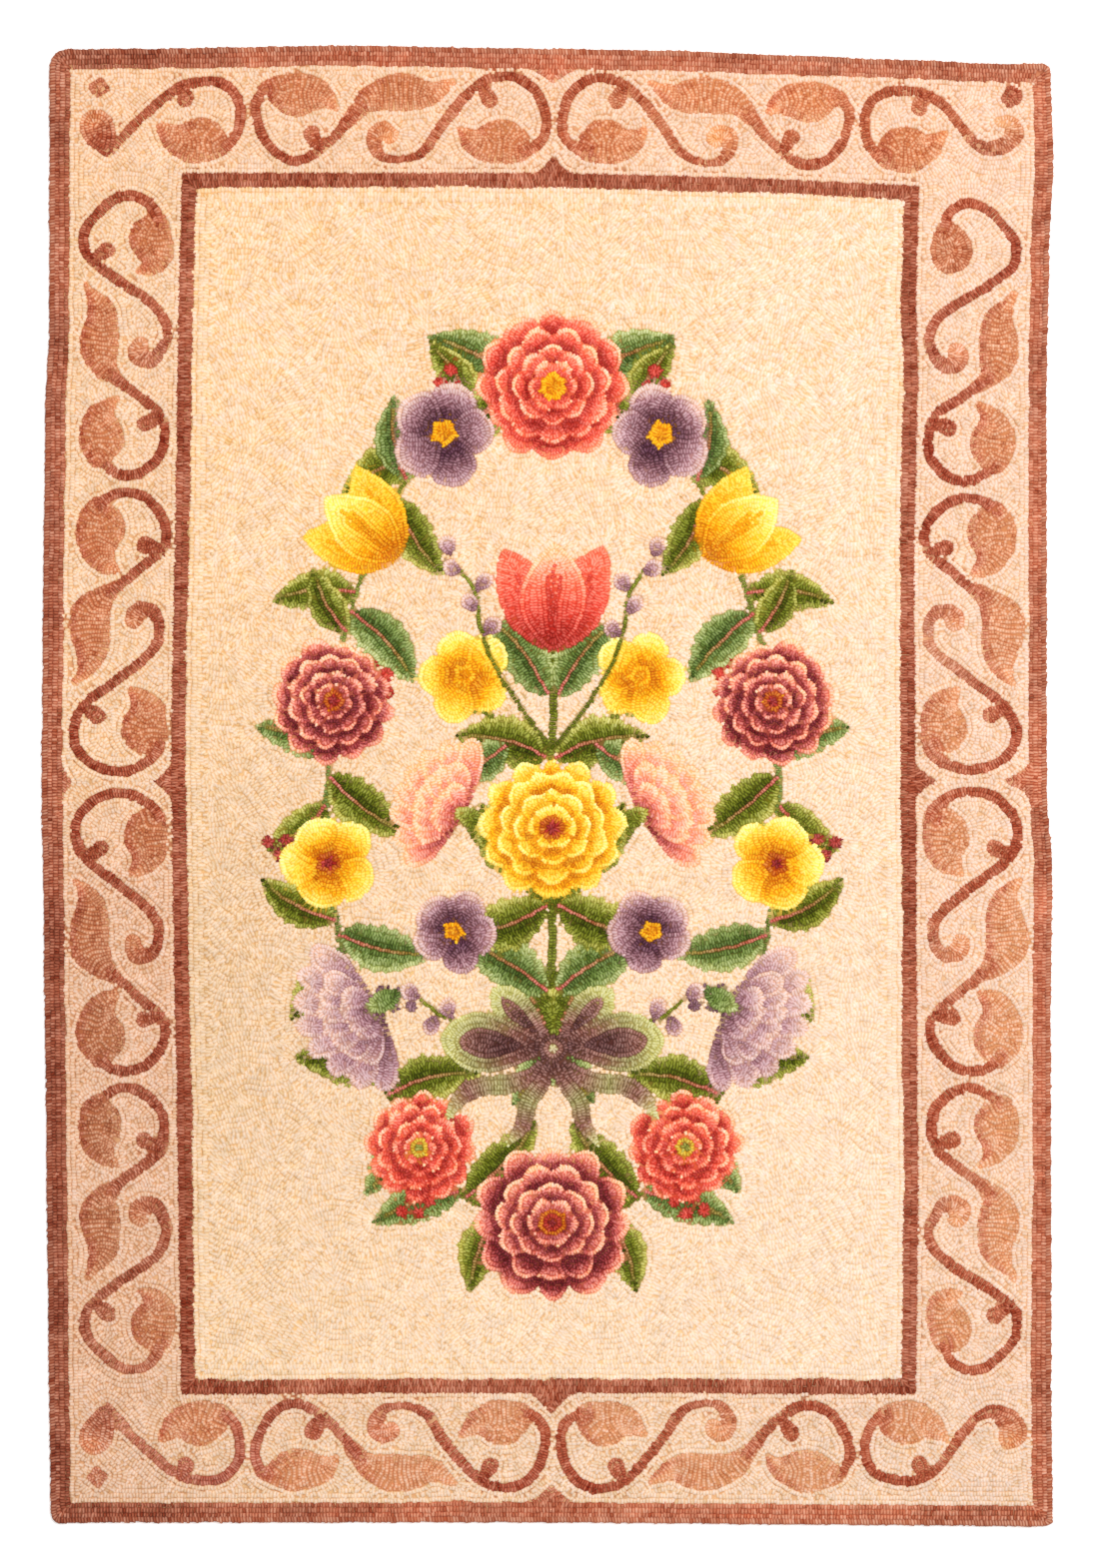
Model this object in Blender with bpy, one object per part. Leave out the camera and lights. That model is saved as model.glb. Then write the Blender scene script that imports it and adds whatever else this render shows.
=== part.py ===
"""Hooked wool rug, laid flat: the hooked body and the whipped edge binding round it.

Metres, +Z up. X runs across the rug and Y along it, towards the top of its design. The origin is at the
middle of the rug, on the surface that it lies on.
"""

import bpy
import bmesh
import numpy as np

# The four corners, (x, y), as the edges' straight lines would meet
CORNERS = {
    "bottom_right": (0.5055, -0.7420),
    "top_right": (0.5030, 0.7240),
    "top_left": (-0.5000, 0.7380),
    "bottom_left": (-0.4990, -0.7390),
}

# Foundation cloth and the wool loops pulled up through it
FOUNDATION_THICKNESS = 0.0012
LOOP_HEIGHT = 0.0056
BODY_THICKNESS = FOUNDATION_THICKNESS + LOOP_HEIGHT
BODY_RIM = 0.0012          # how far the outermost loops round over at the rim

# Whipped edge: yarn wound over a cord rolled in the foundation
BINDING_WIDTH = 0.0052
BINDING_HEIGHT = 0.0064
BINDING_RIM = 0.0018       # roundness of the wound edge
PIECE_GAP = 0.0003

# The edges in anticlockwise order, each with its two corners and its number of straight steps
EDGES = [
    ("right", "bottom_right", "top_right", 44),
    ("top", "top_right", "top_left", 30),
    ("left", "top_left", "bottom_left", 44),
    ("bottom", "bottom_left", "bottom_right", 30),
]

# How far each edge bows out of the straight line between its corners, as (share of its length, out)
EDGE_WAVER = {
    "right": [
        (0.00, 0.0000), (0.09, -0.0013), (0.36, -0.0011), (0.45, 0.0006), (0.50, -0.0048),
        (0.77, -0.0046), (0.88, -0.0013), (0.93, 0.0028), (1.00, 0.0000),
    ],
    "top": [
        (0.00, 0.0000), (0.04, -0.0008), (0.15, 0.0019), (0.25, 0.0045), (0.37, 0.0078),
        (0.51, 0.0079), (0.68, 0.0085), (0.96, 0.0016), (1.00, 0.0000),
    ],
    "left": [
        (0.00, 0.0000), (0.19, 0.0007), (0.24, 0.0046), (0.41, 0.0074), (0.50, 0.0085),
        (0.58, 0.0066), (0.77, 0.0038), (0.85, 0.0023), (1.00, 0.0000),
    ],
    "bottom": [(0.00, 0.0000), (0.06, -0.0012), (0.50, -0.0025), (0.80, -0.0010), (1.00, 0.0000)],
}

# The top left corner is pulled in softly, and the others are neat
CORNER_RADIUS = {"bottom_right": 0.009, "top_right": 0.009, "top_left": 0.017, "bottom_left": 0.011}
CORNER_STEPS = 4
RIM_STEPS = 1              # Blender's bevel resolution, so two facets to each rounded rim
WELD = 0.00001             # joins the filled faces to the rims, which meet them exactly
SHARP_ANGLE = 50           # degrees

WOOL_CREAM = (0.90, 0.74, 0.50, 1.0)
WOOL_ROSE_BROWN = (0.27, 0.075, 0.045, 1.0)
WOOL_ROUGHNESS = 0.95


def waver(edge, share):
    """The edge's bow at each share of its length: its rows, joined by smooth steps."""
    places, bow = np.array(EDGE_WAVER[edge]).T
    row = np.clip(np.searchsorted(places, share) - 1, 0, len(places) - 2)
    part = (share - places[row]) / (places[row + 1] - places[row])
    part = part * part * (3 - 2 * part)
    return bow[row] + part * (bow[row + 1] - bow[row])


def edge_line(edge, first, last, steps):
    """One edge's points between its two rounded corners."""
    start, finish = np.array(CORNERS[first]), np.array(CORNERS[last])
    run = finish - start
    length = np.linalg.norm(run)
    outward = np.array((run[1], -run[0])) / length
    share = np.linspace(CORNER_RADIUS[first] / length, 1 - CORNER_RADIUS[last] / length, steps)
    return start + share[:, None] * run + waver(edge, share)[:, None] * outward


def corner_arc(before, after):
    """The points inside the quarter round from the end of one edge to the start of the next."""
    leaving, arriving = before[-1] - before[-2], after[1] - after[0]
    leaving, arriving = leaving / np.linalg.norm(leaving), arriving / np.linalg.norm(arriving)
    # The step across the corner, told as so much along each of the two edges
    onward, across = np.linalg.solve(np.stack([leaving, arriving], axis=1), after[0] - before[-1])
    turn = np.linspace(0, np.pi / 2, CORNER_STEPS + 2)[1:-1, None]
    return before[-1] + np.sin(turn) * onward * leaving + (1 - np.cos(turn)) * across * arriving


def rug_outline():
    """The rug's outer edge as one closed row of points, anticlockwise from the bottom right corner."""
    lines = [edge_line(*edge) for edge in EDGES]
    arcs = [corner_arc(before, after) for before, after in zip(lines, lines[1:] + lines[:1])]
    outline = np.concatenate([part for pair in zip(lines, arcs) for part in pair])
    return outline - (outline.max(axis=0) + outline.min(axis=0)) / 2


def moved_in(outline, distance):
    """The outline moved inwards by distance, square to itself at each point."""
    run = np.roll(outline, -1, axis=0) - np.roll(outline, 1, axis=0)
    run /= np.linalg.norm(run, axis=1)[:, None]
    inward = np.stack([-run[:, 1], run[:, 0]], axis=1)
    return outline + distance * inward


def wool(name, colour):
    material = bpy.data.materials.new(name)
    material.use_nodes = True
    shader = material.node_tree.nodes["Principled BSDF"]
    shader.inputs["Base Color"].default_value = colour
    shader.inputs["Roughness"].default_value = WOOL_ROUGHNESS
    shader.inputs["Metallic"].default_value = 0.0
    return material


def flat_piece(name, outlines, thickness, rim, material, collection):
    """A flat piece on the surface, filled between its outlines, with rims rounded over top and bottom."""
    curve = bpy.data.curves.new(name + "_outline", "CURVE")
    curve.dimensions = "2D"
    curve.fill_mode = "BOTH"
    curve.bevel_depth = rim
    curve.bevel_resolution = RIM_STEPS
    curve.offset = -rim
    curve.extrude = thickness / 2 - rim
    for outline in outlines:
        spline = curve.splines.new("POLY")
        spline.points.add(len(outline) - 1)
        rows = np.zeros((len(outline), 4))
        rows[:, :2] = outline
        spline.points.foreach_set("co", rows.ravel())
        spline.use_cyclic_u = True
    guide = bpy.data.objects.new(name + "_guide", curve)
    collection.objects.link(guide)
    bpy.context.view_layer.update()
    graph = bpy.context.evaluated_depsgraph_get()
    mesh = bpy.data.meshes.new_from_object(guide.evaluated_get(graph))
    bpy.data.objects.remove(guide)
    shape = bmesh.new()
    shape.from_mesh(mesh)
    bmesh.ops.remove_doubles(shape, verts=shape.verts, dist=WELD)
    bmesh.ops.recalc_face_normals(shape, faces=shape.faces)
    shape.to_mesh(mesh)
    shape.free()
    mesh.materials.clear()
    mesh.materials.append(material)
    piece = bpy.data.objects.new(name, mesh)
    piece.location.z = thickness / 2
    collection.objects.link(piece)
    mesh.shade_smooth()
    mesh.set_sharp_from_angle(angle=np.radians(SHARP_ANGLE))


def build():
    for leftover in list(bpy.data.objects):
        bpy.data.objects.remove(leftover)
    rug = bpy.data.collections.new("hooked_rug")
    bpy.context.scene.collection.children.link(rug)
    edge = rug_outline()
    body_edge = moved_in(edge, BINDING_WIDTH + PIECE_GAP)
    inner_edge = moved_in(edge, BINDING_WIDTH)
    flat_piece(
        "hooked_rug_body", [body_edge], BODY_THICKNESS, BODY_RIM, wool("hooked_wool", WOOL_CREAM), rug
    )
    flat_piece(
        "whipped_binding", [edge, inner_edge[::-1]], BINDING_HEIGHT, BINDING_RIM,
        wool("whipping_yarn", WOOL_ROSE_BROWN), rug,
    )


build()
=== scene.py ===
import bpy
import numpy as np
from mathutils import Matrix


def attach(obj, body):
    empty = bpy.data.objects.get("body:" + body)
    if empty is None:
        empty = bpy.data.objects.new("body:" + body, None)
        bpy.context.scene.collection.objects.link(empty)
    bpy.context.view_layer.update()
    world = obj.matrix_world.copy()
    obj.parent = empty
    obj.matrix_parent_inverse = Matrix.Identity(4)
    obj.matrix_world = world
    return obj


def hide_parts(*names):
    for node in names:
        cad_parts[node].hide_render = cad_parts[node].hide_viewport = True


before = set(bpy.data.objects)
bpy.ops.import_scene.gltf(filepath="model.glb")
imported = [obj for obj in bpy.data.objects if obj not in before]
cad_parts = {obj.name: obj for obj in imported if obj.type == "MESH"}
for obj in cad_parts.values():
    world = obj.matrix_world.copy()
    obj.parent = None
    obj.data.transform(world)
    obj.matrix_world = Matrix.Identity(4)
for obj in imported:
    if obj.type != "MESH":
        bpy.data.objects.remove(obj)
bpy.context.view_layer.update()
mm = 0.001  # the pattern is drawn in millimetres, from the middle of the rug
chance = np.random.default_rng(7)

# Every wool in the rug, as its loops look together in daylight (sRGB, 0 to 255)
dyePot = {
    "fieldCream": (254, 226, 182),
    "haloBlush": (236, 207, 163),
    "borderBlush": (237, 207, 174),
    "borderFaded": (227, 191, 162),
    "bandRose": (215, 142, 109),
    "bandShadow": (153, 80, 57),
    "lineShadow": (158, 78, 53),
    "vineRust": (174, 84, 56),
    "leafRust": (194, 116, 84),
    "terracotta": (207, 147, 110),
    "terracottaPale": (224, 168, 128),
    "wine": (120, 34, 40),
    "burgundy": (156, 56, 58),
    "dustyRose": (208, 112, 104),
    "petalPink": (236, 162, 138),
    "shellPink": (252, 208, 172),
    "brick": (182, 52, 44),
    "coral": (222, 92, 76),
    "coralPale": (242, 140, 112),
    "amber": (214, 140, 20),
    "gold": (238, 186, 28),
    "lemon": (250, 216, 88),
    "lemonPale": (255, 234, 150),
    "plum": (96, 54, 72),
    "mauve": (144, 98, 108),
    "lavender": (190, 150, 158),
    "lilacPale": (230, 202, 190),
    "forest": (58, 66, 6),
    "moss": (94, 102, 14),
    "leafGreen": (138, 142, 44),
    "springGreen": (192, 186, 96),
    "bottleGreen": (58, 82, 24),
    "sage": (120, 140, 68),
    "sagePale": (182, 188, 124),
    "ribbonShade": (104, 64, 62),
    "ribbonMauve": (160, 112, 100),
    "ribbonSage": (172, 164, 112),
    "ribbonPale": (210, 206, 146),
}
# Powers and factors that make the dye of a loop's parts and of the cloth between the loops, with painted
# light in
# them: a painted highlight on the crowns, and painted shade on the shoulders, the feet and the cloth between
# loops
woolDyeAndPaintedShade = {
    "dye": 0.84, "crown": 1.2, "shoulder": 0.3, "foot": 2.5, "paleFoot": -0.8, "footShade": 0.94,
    "gap": 1.6, "gapShade": 0.9, "paleFrom": 0.45, "paleOver": 0.2,
}
# Pale wool passes light on between its loops, most of it red, and that light is painted in: what is added to
# its red, green and blue in the valleys and on the crowns as painted light, and how much evener they are from
# loop to loop
paleValleyPaintedLight = np.array([0.21, 0.18, -0.1])
paleCrownPaintedLight = np.array([-0.08, -0.07, 0.0])
paleEven = np.array([0.35, 0.35, 0.0])


def unit(values):  # kept between 0 and 1
    return np.clip(values, 0, 1)


def linear(rgb):  # sRGB to the light values that the shader takes
    share = np.array(rgb, np.float32) / 255
    return np.where(share < 0.04045, share / 12.92, ((share + 0.055) / 1.055) ** 2.4).astype(np.float32)


# Dark wool loses more light between its loops, so its fibres are lighter than the loops look together
wool = {name: linear(rgb) ** woolDyeAndPaintedShade["dye"] for name, rgb in dyePot.items()}


def paleness(colours):  # 0 for dark and middling wool, 1 for pale wool: (mean - paleFrom) / paleOver
    return unit((colours.mean(1, keepdims=True) - woolDyeAndPaintedShade["paleFrom"]) / woolDyeAndPaintedShade["paleOver"])


def shadeRun(names, share):  # a run of dyes in order, mixed by how far along it each share is
    colours = np.array([wool[name] for name in names])
    place = unit(share) * (len(names) - 1)
    return np.stack([np.interp(place, np.arange(len(names)), colours[:, c]) for c in range(3)], -1)


# The outline, read off the CAD body

def outlineOf(node):  # the ring of vertices at the level where the piece is widest, in order of bearing
    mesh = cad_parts[node].data
    points = np.empty(len(mesh.vertices) * 3, np.float32)
    mesh.vertices.foreach_get("co", points)
    points = points.reshape(-1, 3) / mm
    levels = np.round(points[:, 2], 1)
    widest = max(np.unique(levels), key=lambda level: np.ptp(points[levels == level, 0]))
    ring = np.unique(np.round(points[levels == widest, :2], 2), axis=0)
    return ring[np.argsort(np.arctan2(ring[:, 1], ring[:, 0]))]


def movedOut(ring, distance):  # the closed ring moved outwards, square to itself at each point
    run = np.roll(ring, -1, axis=0) - np.roll(ring, 1, axis=0)
    run /= np.linalg.norm(run, axis=1)[:, None]
    return ring + distance * np.stack([run[:, 1], -run[:, 0]], axis=1)


bodyRing = outlineOf("hooked_rug_body")
print("outline read:", len(bodyRing), "points")

# The pattern is a chart of small cells: each holds its patch's number and its wool's dye

chart = {"cell": 1.0, "halfWidth": 515, "halfLength": 750}
across = np.arange(-chart["halfWidth"], chart["halfWidth"], chart["cell"], np.float32) + chart["cell"] / 2
along = np.arange(-chart["halfLength"], chart["halfLength"], chart["cell"], np.float32) + chart["cell"] / 2
chartX, chartY = np.meshgrid(across, along)
patch = np.zeros(chartX.shape, np.int32)  # 0 is off the rug
dye = np.zeros(chartX.shape + (3,), np.float32)
lineSide = np.full(chartX.shape, np.nan, np.float32)
wayAlong = np.full(chartX.shape, np.nan, np.float32)
patchKinds = ["none"]
# Rows in millimetres, how many of them echo a motif, and how many loops a strip of wool makes
hooking = {
    "row": 5.2, "smallRow": 4.7, "leafRow": 4.2, "veinRow": 3.4, "least": 3.9, "most": 5.6,
    "echoRows": 3, "stripLoops": 18,
}


def cloud(size, seed):  # soft random hills, -1 to 1: random values on a lattice, joined by smooth steps
    def weights(places):
        count = int(np.ptp(places) / size) + 3
        at = (places - places[0]) / size
        low = at.astype(int)
        part = at - low
        part = part * part * (3 - 2 * part)
        table = np.zeros((len(places), count), np.float32)
        table[np.arange(len(places)), low] = 1 - part
        table[np.arange(len(places)), low + 1] = part
        return table
    down, over = weights(along), weights(across)
    lattice = np.random.default_rng(seed).uniform(-1, 1, (down.shape[1], over.shape[1]))
    return down @ lattice.astype(np.float32) @ over.T


def stepsTo(marked, reach):  # distance from each cell to the nearest marked one, right up to reach cells
    rows = np.arange(marked.shape[0])[:, None]
    above = np.maximum.accumulate(np.where(marked, rows, -9999), axis=0)
    below = np.minimum.accumulate(np.where(marked, rows, 99999)[::-1], axis=0)[::-1]
    gap = np.minimum(np.minimum(rows - above, below - rows), reach + 1).astype(np.float32) ** 2
    best = gap.copy()
    for step in range(1, reach + 1):
        best[:, step:] = np.minimum(best[:, step:], gap[:, :-step] + step * step)
        best[:, :-step] = np.minimum(best[:, :-step], gap[:, step:] + step * step)
    return np.minimum(np.sqrt(best), reach)


def insideRing(ring):  # a cell is inside where an odd number of the ring's sides lie to its right
    inside = np.zeros(chartX.shape, bool)
    for (x0, y0), (x1, y1) in zip(ring, np.roll(ring, -1, axis=0)):
        rows = np.flatnonzero((along > min(y0, y1)) & (along <= max(y0, y1)))
        crossing = x0 + (along[rows] - y0) * (x1 - x0) / (y1 - y0) if len(rows) else rows
        inside[rows] ^= across[None, :] < np.reshape(crossing, (-1, 1))
    return inside


def hook(cells, colours, kind, fromLine=None, onward=None):
    # one more patch of the chart: its cells, their dyes and kind. A thin one's row runs along its middle
    # line, so it gives how far each cell is to the side of that line; and where the loops of neighbouring
    # rows lie side by side it gives how far along the shape each cell is
    patch.ravel()[cells] = len(patchKinds)
    dye.reshape(-1, 3)[cells] = colours
    lineSide.ravel()[cells] = np.nan if fromLine is None else fromLine
    wayAlong.ravel()[cells] = np.nan if onward is None else onward
    patchKinds.append(kind)


# The outer band, the frame line round the field, and the cusps in the middle of their sides

bandStyle = {"width": 15.0, "lineWidth": 14.0, "cuspCurve": 1.5}
# How far the frame line's outer edge is from the middle of the rug, as (place along that side, distance)
frameSides = {
    "left": [(-600, 367), (-313, 371), (-113, 375), (37, 377), (357, 371), (447, 370), (620, 366)],
    "right": [(-600, 369), (-413, 371), (-113, 369), (227, 367), (417, 371), (487, 369), (600, 372)],
    "top": [(-370, 614), (10, 614), (200, 609), (372, 601)],
    "bottom": [(-370, 609), (0, 608), (370, 609)],
}
# Cusps: place along the side, then depth and half breadth of the band's and of the frame line's
cusps = {
    "left": (4, 10, 20, 18, 20), "right": (5, 25, 19, 22, 19),
    "top": (6, 15, 27, 18, 19), "bottom": (4, 18, 24, 22, 25),
}
sideFrames = {  # which way is out, and which way is along, on each side
    "left": (-chartX, chartY), "right": (chartX, chartY),
    "top": (chartY, chartX), "bottom": (-chartY, chartX),
}

rugInside = insideRing(bodyRing)
edgeReach = stepsTo(~rugInside, 70) - 0.5
lineReach = np.full(chartX.shape, 999, np.float32)  # how far inside the frame line's outer edge
cuspBand = np.zeros(chartX.shape, np.float32)
cuspLine = np.zeros(chartX.shape, bool)
for side, (outward, sideways) in sideFrames.items():
    edge = np.interp(sideways, *np.array(frameSides[side], np.float32).T)
    lineReach = np.minimum(lineReach, edge - outward)
    middle, bandDepth, bandHalf, lineDepth, lineHalf = cusps[side]
    flank = unit(1 - abs(sideways - middle) / bandHalf) ** bandStyle["cuspCurve"]
    cuspBand = np.maximum(cuspBand, np.where(outward > edge, bandDepth * flank, 0))
    flank = unit(1 - abs(sideways - middle) / lineHalf) ** bandStyle["cuspCurve"]
    cuspLine |= (outward >= edge) & (outward < edge + lineDepth * flank)
handWaver = 0.7 * cloud(22, 3) + 0.4 * cloud(9, 4)

# The band narrows towards the right, but for the bottom
narrowing = 2.2 * unit((chartX - 100) / 360) * unit((chartY + 600) / 200)
bandBreadth = bandStyle["width"] + handWaver - narrowing
lineBreadth = bandStyle["lineWidth"] + 1.2 * cloud(60, 5) + handWaver
outerBand = rugInside & (edgeReach < bandBreadth + cuspBand)
frameLine = (lineReach >= 0) & (lineReach < lineBreadth)
frameLine |= cuspLine & ~outerBand
fieldGround = (lineReach >= 0) & ~frameLine
borderGround = rugInside & ~outerBand & ~frameLine & ~fieldGround

abrash = 0.5 + 0.5 * cloud(120, 6)
leftSide = unit(-chartX / 400) ** 4
# The rose of the band, as shares of the way from its shadow dye: how much darker it is at each side, and how
# much the wool varies; and how the frame line's differs from it
rose = {"level": 0.74, "left": 0.30, "right": 0.12, "lowerLeft": 0.26, "bottom": 0.08, "hills": 0.22,
        "strips": 0.16}
lineTone = {"darker": 0.40, "right": 0.06, "left": 0.1}
roseShade = rose["level"] - rose["left"] * leftSide - rose["right"] * unit(chartX / 400) ** 4
roseShade -= rose["lowerLeft"] * (leftSide * unit(-chartY / 300))
roseShade -= rose["bottom"] * unit(0.2 - chartX / 800) * unit(-chartY / 600) ** 4
roseShade += rose["hills"] * cloud(45, 7) + rose["strips"] * cloud(12, 8)
roseDye = shadeRun(["bandShadow", "bandRose"], roseShade)
lineShade = roseShade - lineTone["darker"] - lineTone["right"] * unit(chartX / 370)
lineShade += lineTone["left"] * leftSide
lineDye = shadeRun(["lineShadow", "bandRose"], lineShade)
# The grounds' red, green and blue: their level, and what they gain a metre to the right and lose a metre up
fieldTint = {"level": (0.86, 0.853, 0.96), "right": (0.02, 0.055, 0.19), "up": (0.0, 0.03, 0.07)}
borderTint = {"level": (0.935, 0.935, 0.98), "right": (0.0, 0.01, 0.1), "ends": (0.0, -0.02, -0.025)}
# The field turns blush at the left below the middle: how much, where, and how far it reaches
blushSpot = {"most": 0.62, "x": -330, "y": -190, "reachX": 170, "reachY": 280}
blush = ((chartX - blushSpot["x"]) / blushSpot["reachX"]) ** 2
blush = blush + ((chartY - blushSpot["y"]) / blushSpot["reachY"]) ** 2
fieldDye = shadeRun(["fieldCream", "haloBlush"], blushSpot["most"] * np.exp(-blush) + 0.1 * abrash)
metresX, metresY = chartX[..., None] / 1000, chartY[..., None] / 1000
fieldDye *= np.array(fieldTint["level"]) + metresX * np.array(fieldTint["right"])
fieldDye *= 1 - metresY * np.array(fieldTint["up"])
fadedLeft = leftSide * unit(0.2 - chartY / 120)
borderDye = shadeRun(["borderBlush", "borderFaded"], 0.2 * abrash + 0.9 * fadedLeft)
ends = unit((abs(chartY) - 560) / 100) * np.sign(chartY)
borderDye *= np.array(borderTint["level"]) + ends[..., None] * np.array(borderTint["ends"])
borderDye *= 1 + metresX * np.array(borderTint["right"])
wobble = 0.8 * cloud(14, 9) + 0.5 * cloud(6, 10)


def wayRound(cornerX, cornerY, loose):
    # how far along its side a cell is; none near a corner's mitre, where each row keeps its own time
    mitre = cornerY - abs(chartY) - cornerX + abs(chartX)
    way = np.where(mitre > 0, chartY, chartX) + wobble
    way[abs(mitre) < loose] = np.nan
    return way


for cells, colours, kind, way in [
    (outerBand, roseDye, "band", wayRound(501, 736, 7)), (frameLine, lineDye, "line", wayRound(371, 611, 5)),
    (borderGround, borderDye, "border", None), (fieldGround, fieldDye, "field", None),
]:
    hook(np.flatnonzero(cells), colours[cells], kind, onward=None if way is None else way[cells])
print("bands and grounds charted")

# Shapes are drawn on a folded and slightly wavering copy of a ground, so that their mirror images differ

folds = {"x": 5, "y": 4}  # the middle lines that the design is folded on
# Millimetres that the hand slips by, and how wide the slips are
wander = {"slip": 1.8, "wide": 70, "tremble": 0.8, "short": 13, "ragged": 0.5, "tiny": 5}
slipX, slipY = [
    wander["slip"] * cloud(wander["wide"], seed) + wander["tremble"] * cloud(wander["short"], seed + 1)
    + wander["ragged"] * cloud(wander["tiny"], tinySeed) for seed, tinySeed in [(11, 15), (13, 16)]
]


def foldedGround(cells, foldX, foldY, lean):
    # the cells' places once their quarter or half is folded over, to foldX - |x - foldX| and
    # foldY + |y - foldY|. The right border is narrower than the left one, so between its corners its places
    # are fitted to the left's, and the top edge slopes down to the right by lean
    x, y = (chartX + slipX)[cells], (chartY + slipY)[cells]
    over = foldX - abs(x - foldX) - 0.065 * np.maximum(x - 375, 0) * unit((650 - abs(y)) / 50)
    fitted = unit((560 - abs(y)) / 60) * unit((x - 330) / 40)
    over = over + fitted * (acrossAsLeft(x, y) - over)
    y = y + lean * unit(x / 460) * unit(y / 600)
    if foldY is not None:
        y = foldY + abs(y - foldY)
    return {"x": over, "y": y, "cell": np.flatnonzero(cells)}


def acrossAsLeft(x, y):  # a place in the right border as the like share of the way across the left border
    lines = [np.interp(y, *np.array(frameSides[side], np.float32).T) for side in ("left", "right")]
    rims = [np.interp(y, along, reach - bandStyle["width"])
            for reach in (-np.where(rugInside, chartX, 0).min(1), np.where(rugInside, chartX, 0).max(1) + 2)]
    return -lines[0] - (x - lines[1]) * (rims[0] - lines[0]) / (rims[1] - lines[1])


def near(ground, x, y, reach):  # the ground's cells within reach of a place, and their places from it
    found = np.flatnonzero((abs(ground["x"] - x) < reach) & (abs(ground["y"] - y) < reach))
    return found, ground["x"][found] - x, ground["y"][found] - y


def smoothLine(points, steps=5):  # a curve through the points: each stretch is a cubic that keeps its slope
    points = np.array(points, np.float32)
    ends = np.concatenate([2 * points[:1] - points[1:2], points, 2 * points[-1:] - points[-2:-1]])
    t = np.linspace(0, 1, steps, endpoint=False)[:, None, None]
    a, b, c, d = ends[:-3], ends[1:-2], ends[2:-1], ends[3:]
    curve = b + t * (c - a) / 2 + t**2 * (a - 2.5 * b + 2 * c - d / 2) + t**3 * ((d - a) / 2 + 1.5 * (b - c))
    return np.concatenate([curve.transpose(1, 0, 2).reshape(-1, points.shape[1]), points[-1:]])


def stroke(ground, points, dyes, kind, inStep=True):
    # a line of changing breadth: cells nearer to the smooth line through (x, y, half breadth) than its
    # half breadth there; the dyes run along it
    line = smoothLine(points)
    low, high = (line[:, :2] - line[:, 2:]).min(0), (line[:, :2] + line[:, 2:]).max(0)
    middle, reach = (low + high) / 2, (high - low).max() / 2 + 2
    found, x, y = near(ground, *middle, reach)
    line[:, :2] -= middle
    deep = np.full(len(found), -99, np.float32)
    share, aside = np.zeros(len(found), np.float32), np.zeros(len(found), np.float32)
    for step, (start, end) in enumerate(zip(line[:-1], line[1:])):
        run = end - start
        part = unit(((x - start[0]) * run[0] + (y - start[1]) * run[1]) / (run[:2] @ run[:2]))
        offX, offY = x - start[0] - part * run[0], y - start[1] - part * run[1]
        depth = start[2] + part * run[2] - np.hypot(offX, offY)
        share = np.where(depth > deep, (step + part) / (len(line) - 1), share)
        aside = np.where(depth > deep, (run[0] * offY - run[1] * offX) / np.hypot(run[0], run[1]), aside)
        deep = np.maximum(deep, depth)
    inside = deep > 0
    length = np.linalg.norm(np.diff(line[:, :2], axis=0), axis=1).sum()
    fromLine = aside[inside] if line[:, 2].max() < 3.3 else None
    onward = length * share[inside] if inStep else None
    hook(ground["cell"][found[inside]], shadeRun(dyes, share[inside]), kind, fromLine, onward)


# The leaf scroll border: one quarter, which is folded out four times

vineHalf = 5.1
scrollVines = [
    [(-285, 696), (-292, 680), (-289, 662), (-281, 645), (-268, 632), (-251, 628), (-234, 634), (-216, 648),
     (-200, 665), (-190, 677)],
    [(-120, 639), (-108, 658), (-92, 679), (-77, 695), (-62, 706), (-42, 711), (-24, 705), (-11, 692),
     (-4, 674), (-3, 657), (-9, 644), (-24, 635)],
    [(-389, 566), (-394, 581), (-405, 590), (-418, 593), (-433, 589), (-448, 577), (-461, 562), (-465, 546),
     (-461, 531), (-449, 520), (-432, 507), (-414, 496), (-398, 485), (-387, 472), (-381, 458), (-383, 443),
     (-390, 431)],
    [(-436, 413), (-422, 400), (-405, 388), (-391, 376), (-384, 361), (-383, 346), (-387, 332), (-398, 320),
     (-413, 312), (-429, 312), (-443, 320)],
    [(-449, 282), (-438, 291), (-423, 294), (-407, 291), (-394, 280), (-385, 264), (-384, 248), (-392, 234),
     (-406, 222), (-423, 207), (-439, 194)],
    [(-389, 160), (-391, 143), (-403, 129), (-419, 116), (-436, 103), (-454, 90), (-467, 76), (-474, 57),
     (-471, 40), (-460, 26), (-444, 17), (-426, 15), (-409, 20), (-395, 30), (-388, 43)],
]
# Curled ends: (x, y, half breadth), from the vine to the middle of the curl
scrollCurls = [
    [(-120, 639, 4.6), (-130, 632, 4.2), (-142, 628, 3.6), (-154, 627, 3.8), (-165, 631, 5), (-172, 641, 7),
     (-172, 651, 8.5), (-164, 656, 9.5), (-157, 652, 9)],
    [(-384, 444, 5), (-388, 434, 6), (-395, 427, 7.5), (-404, 428, 9.5), (-410, 434, 10.5), (-408, 442, 8.5)],
    [(-389, 157, 5.1), (-391, 168, 5.5), (-397, 176, 6.5), (-406, 178, 7.5), (-413, 173, 9.5),
     (-415, 165, 8.5)],
]
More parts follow.
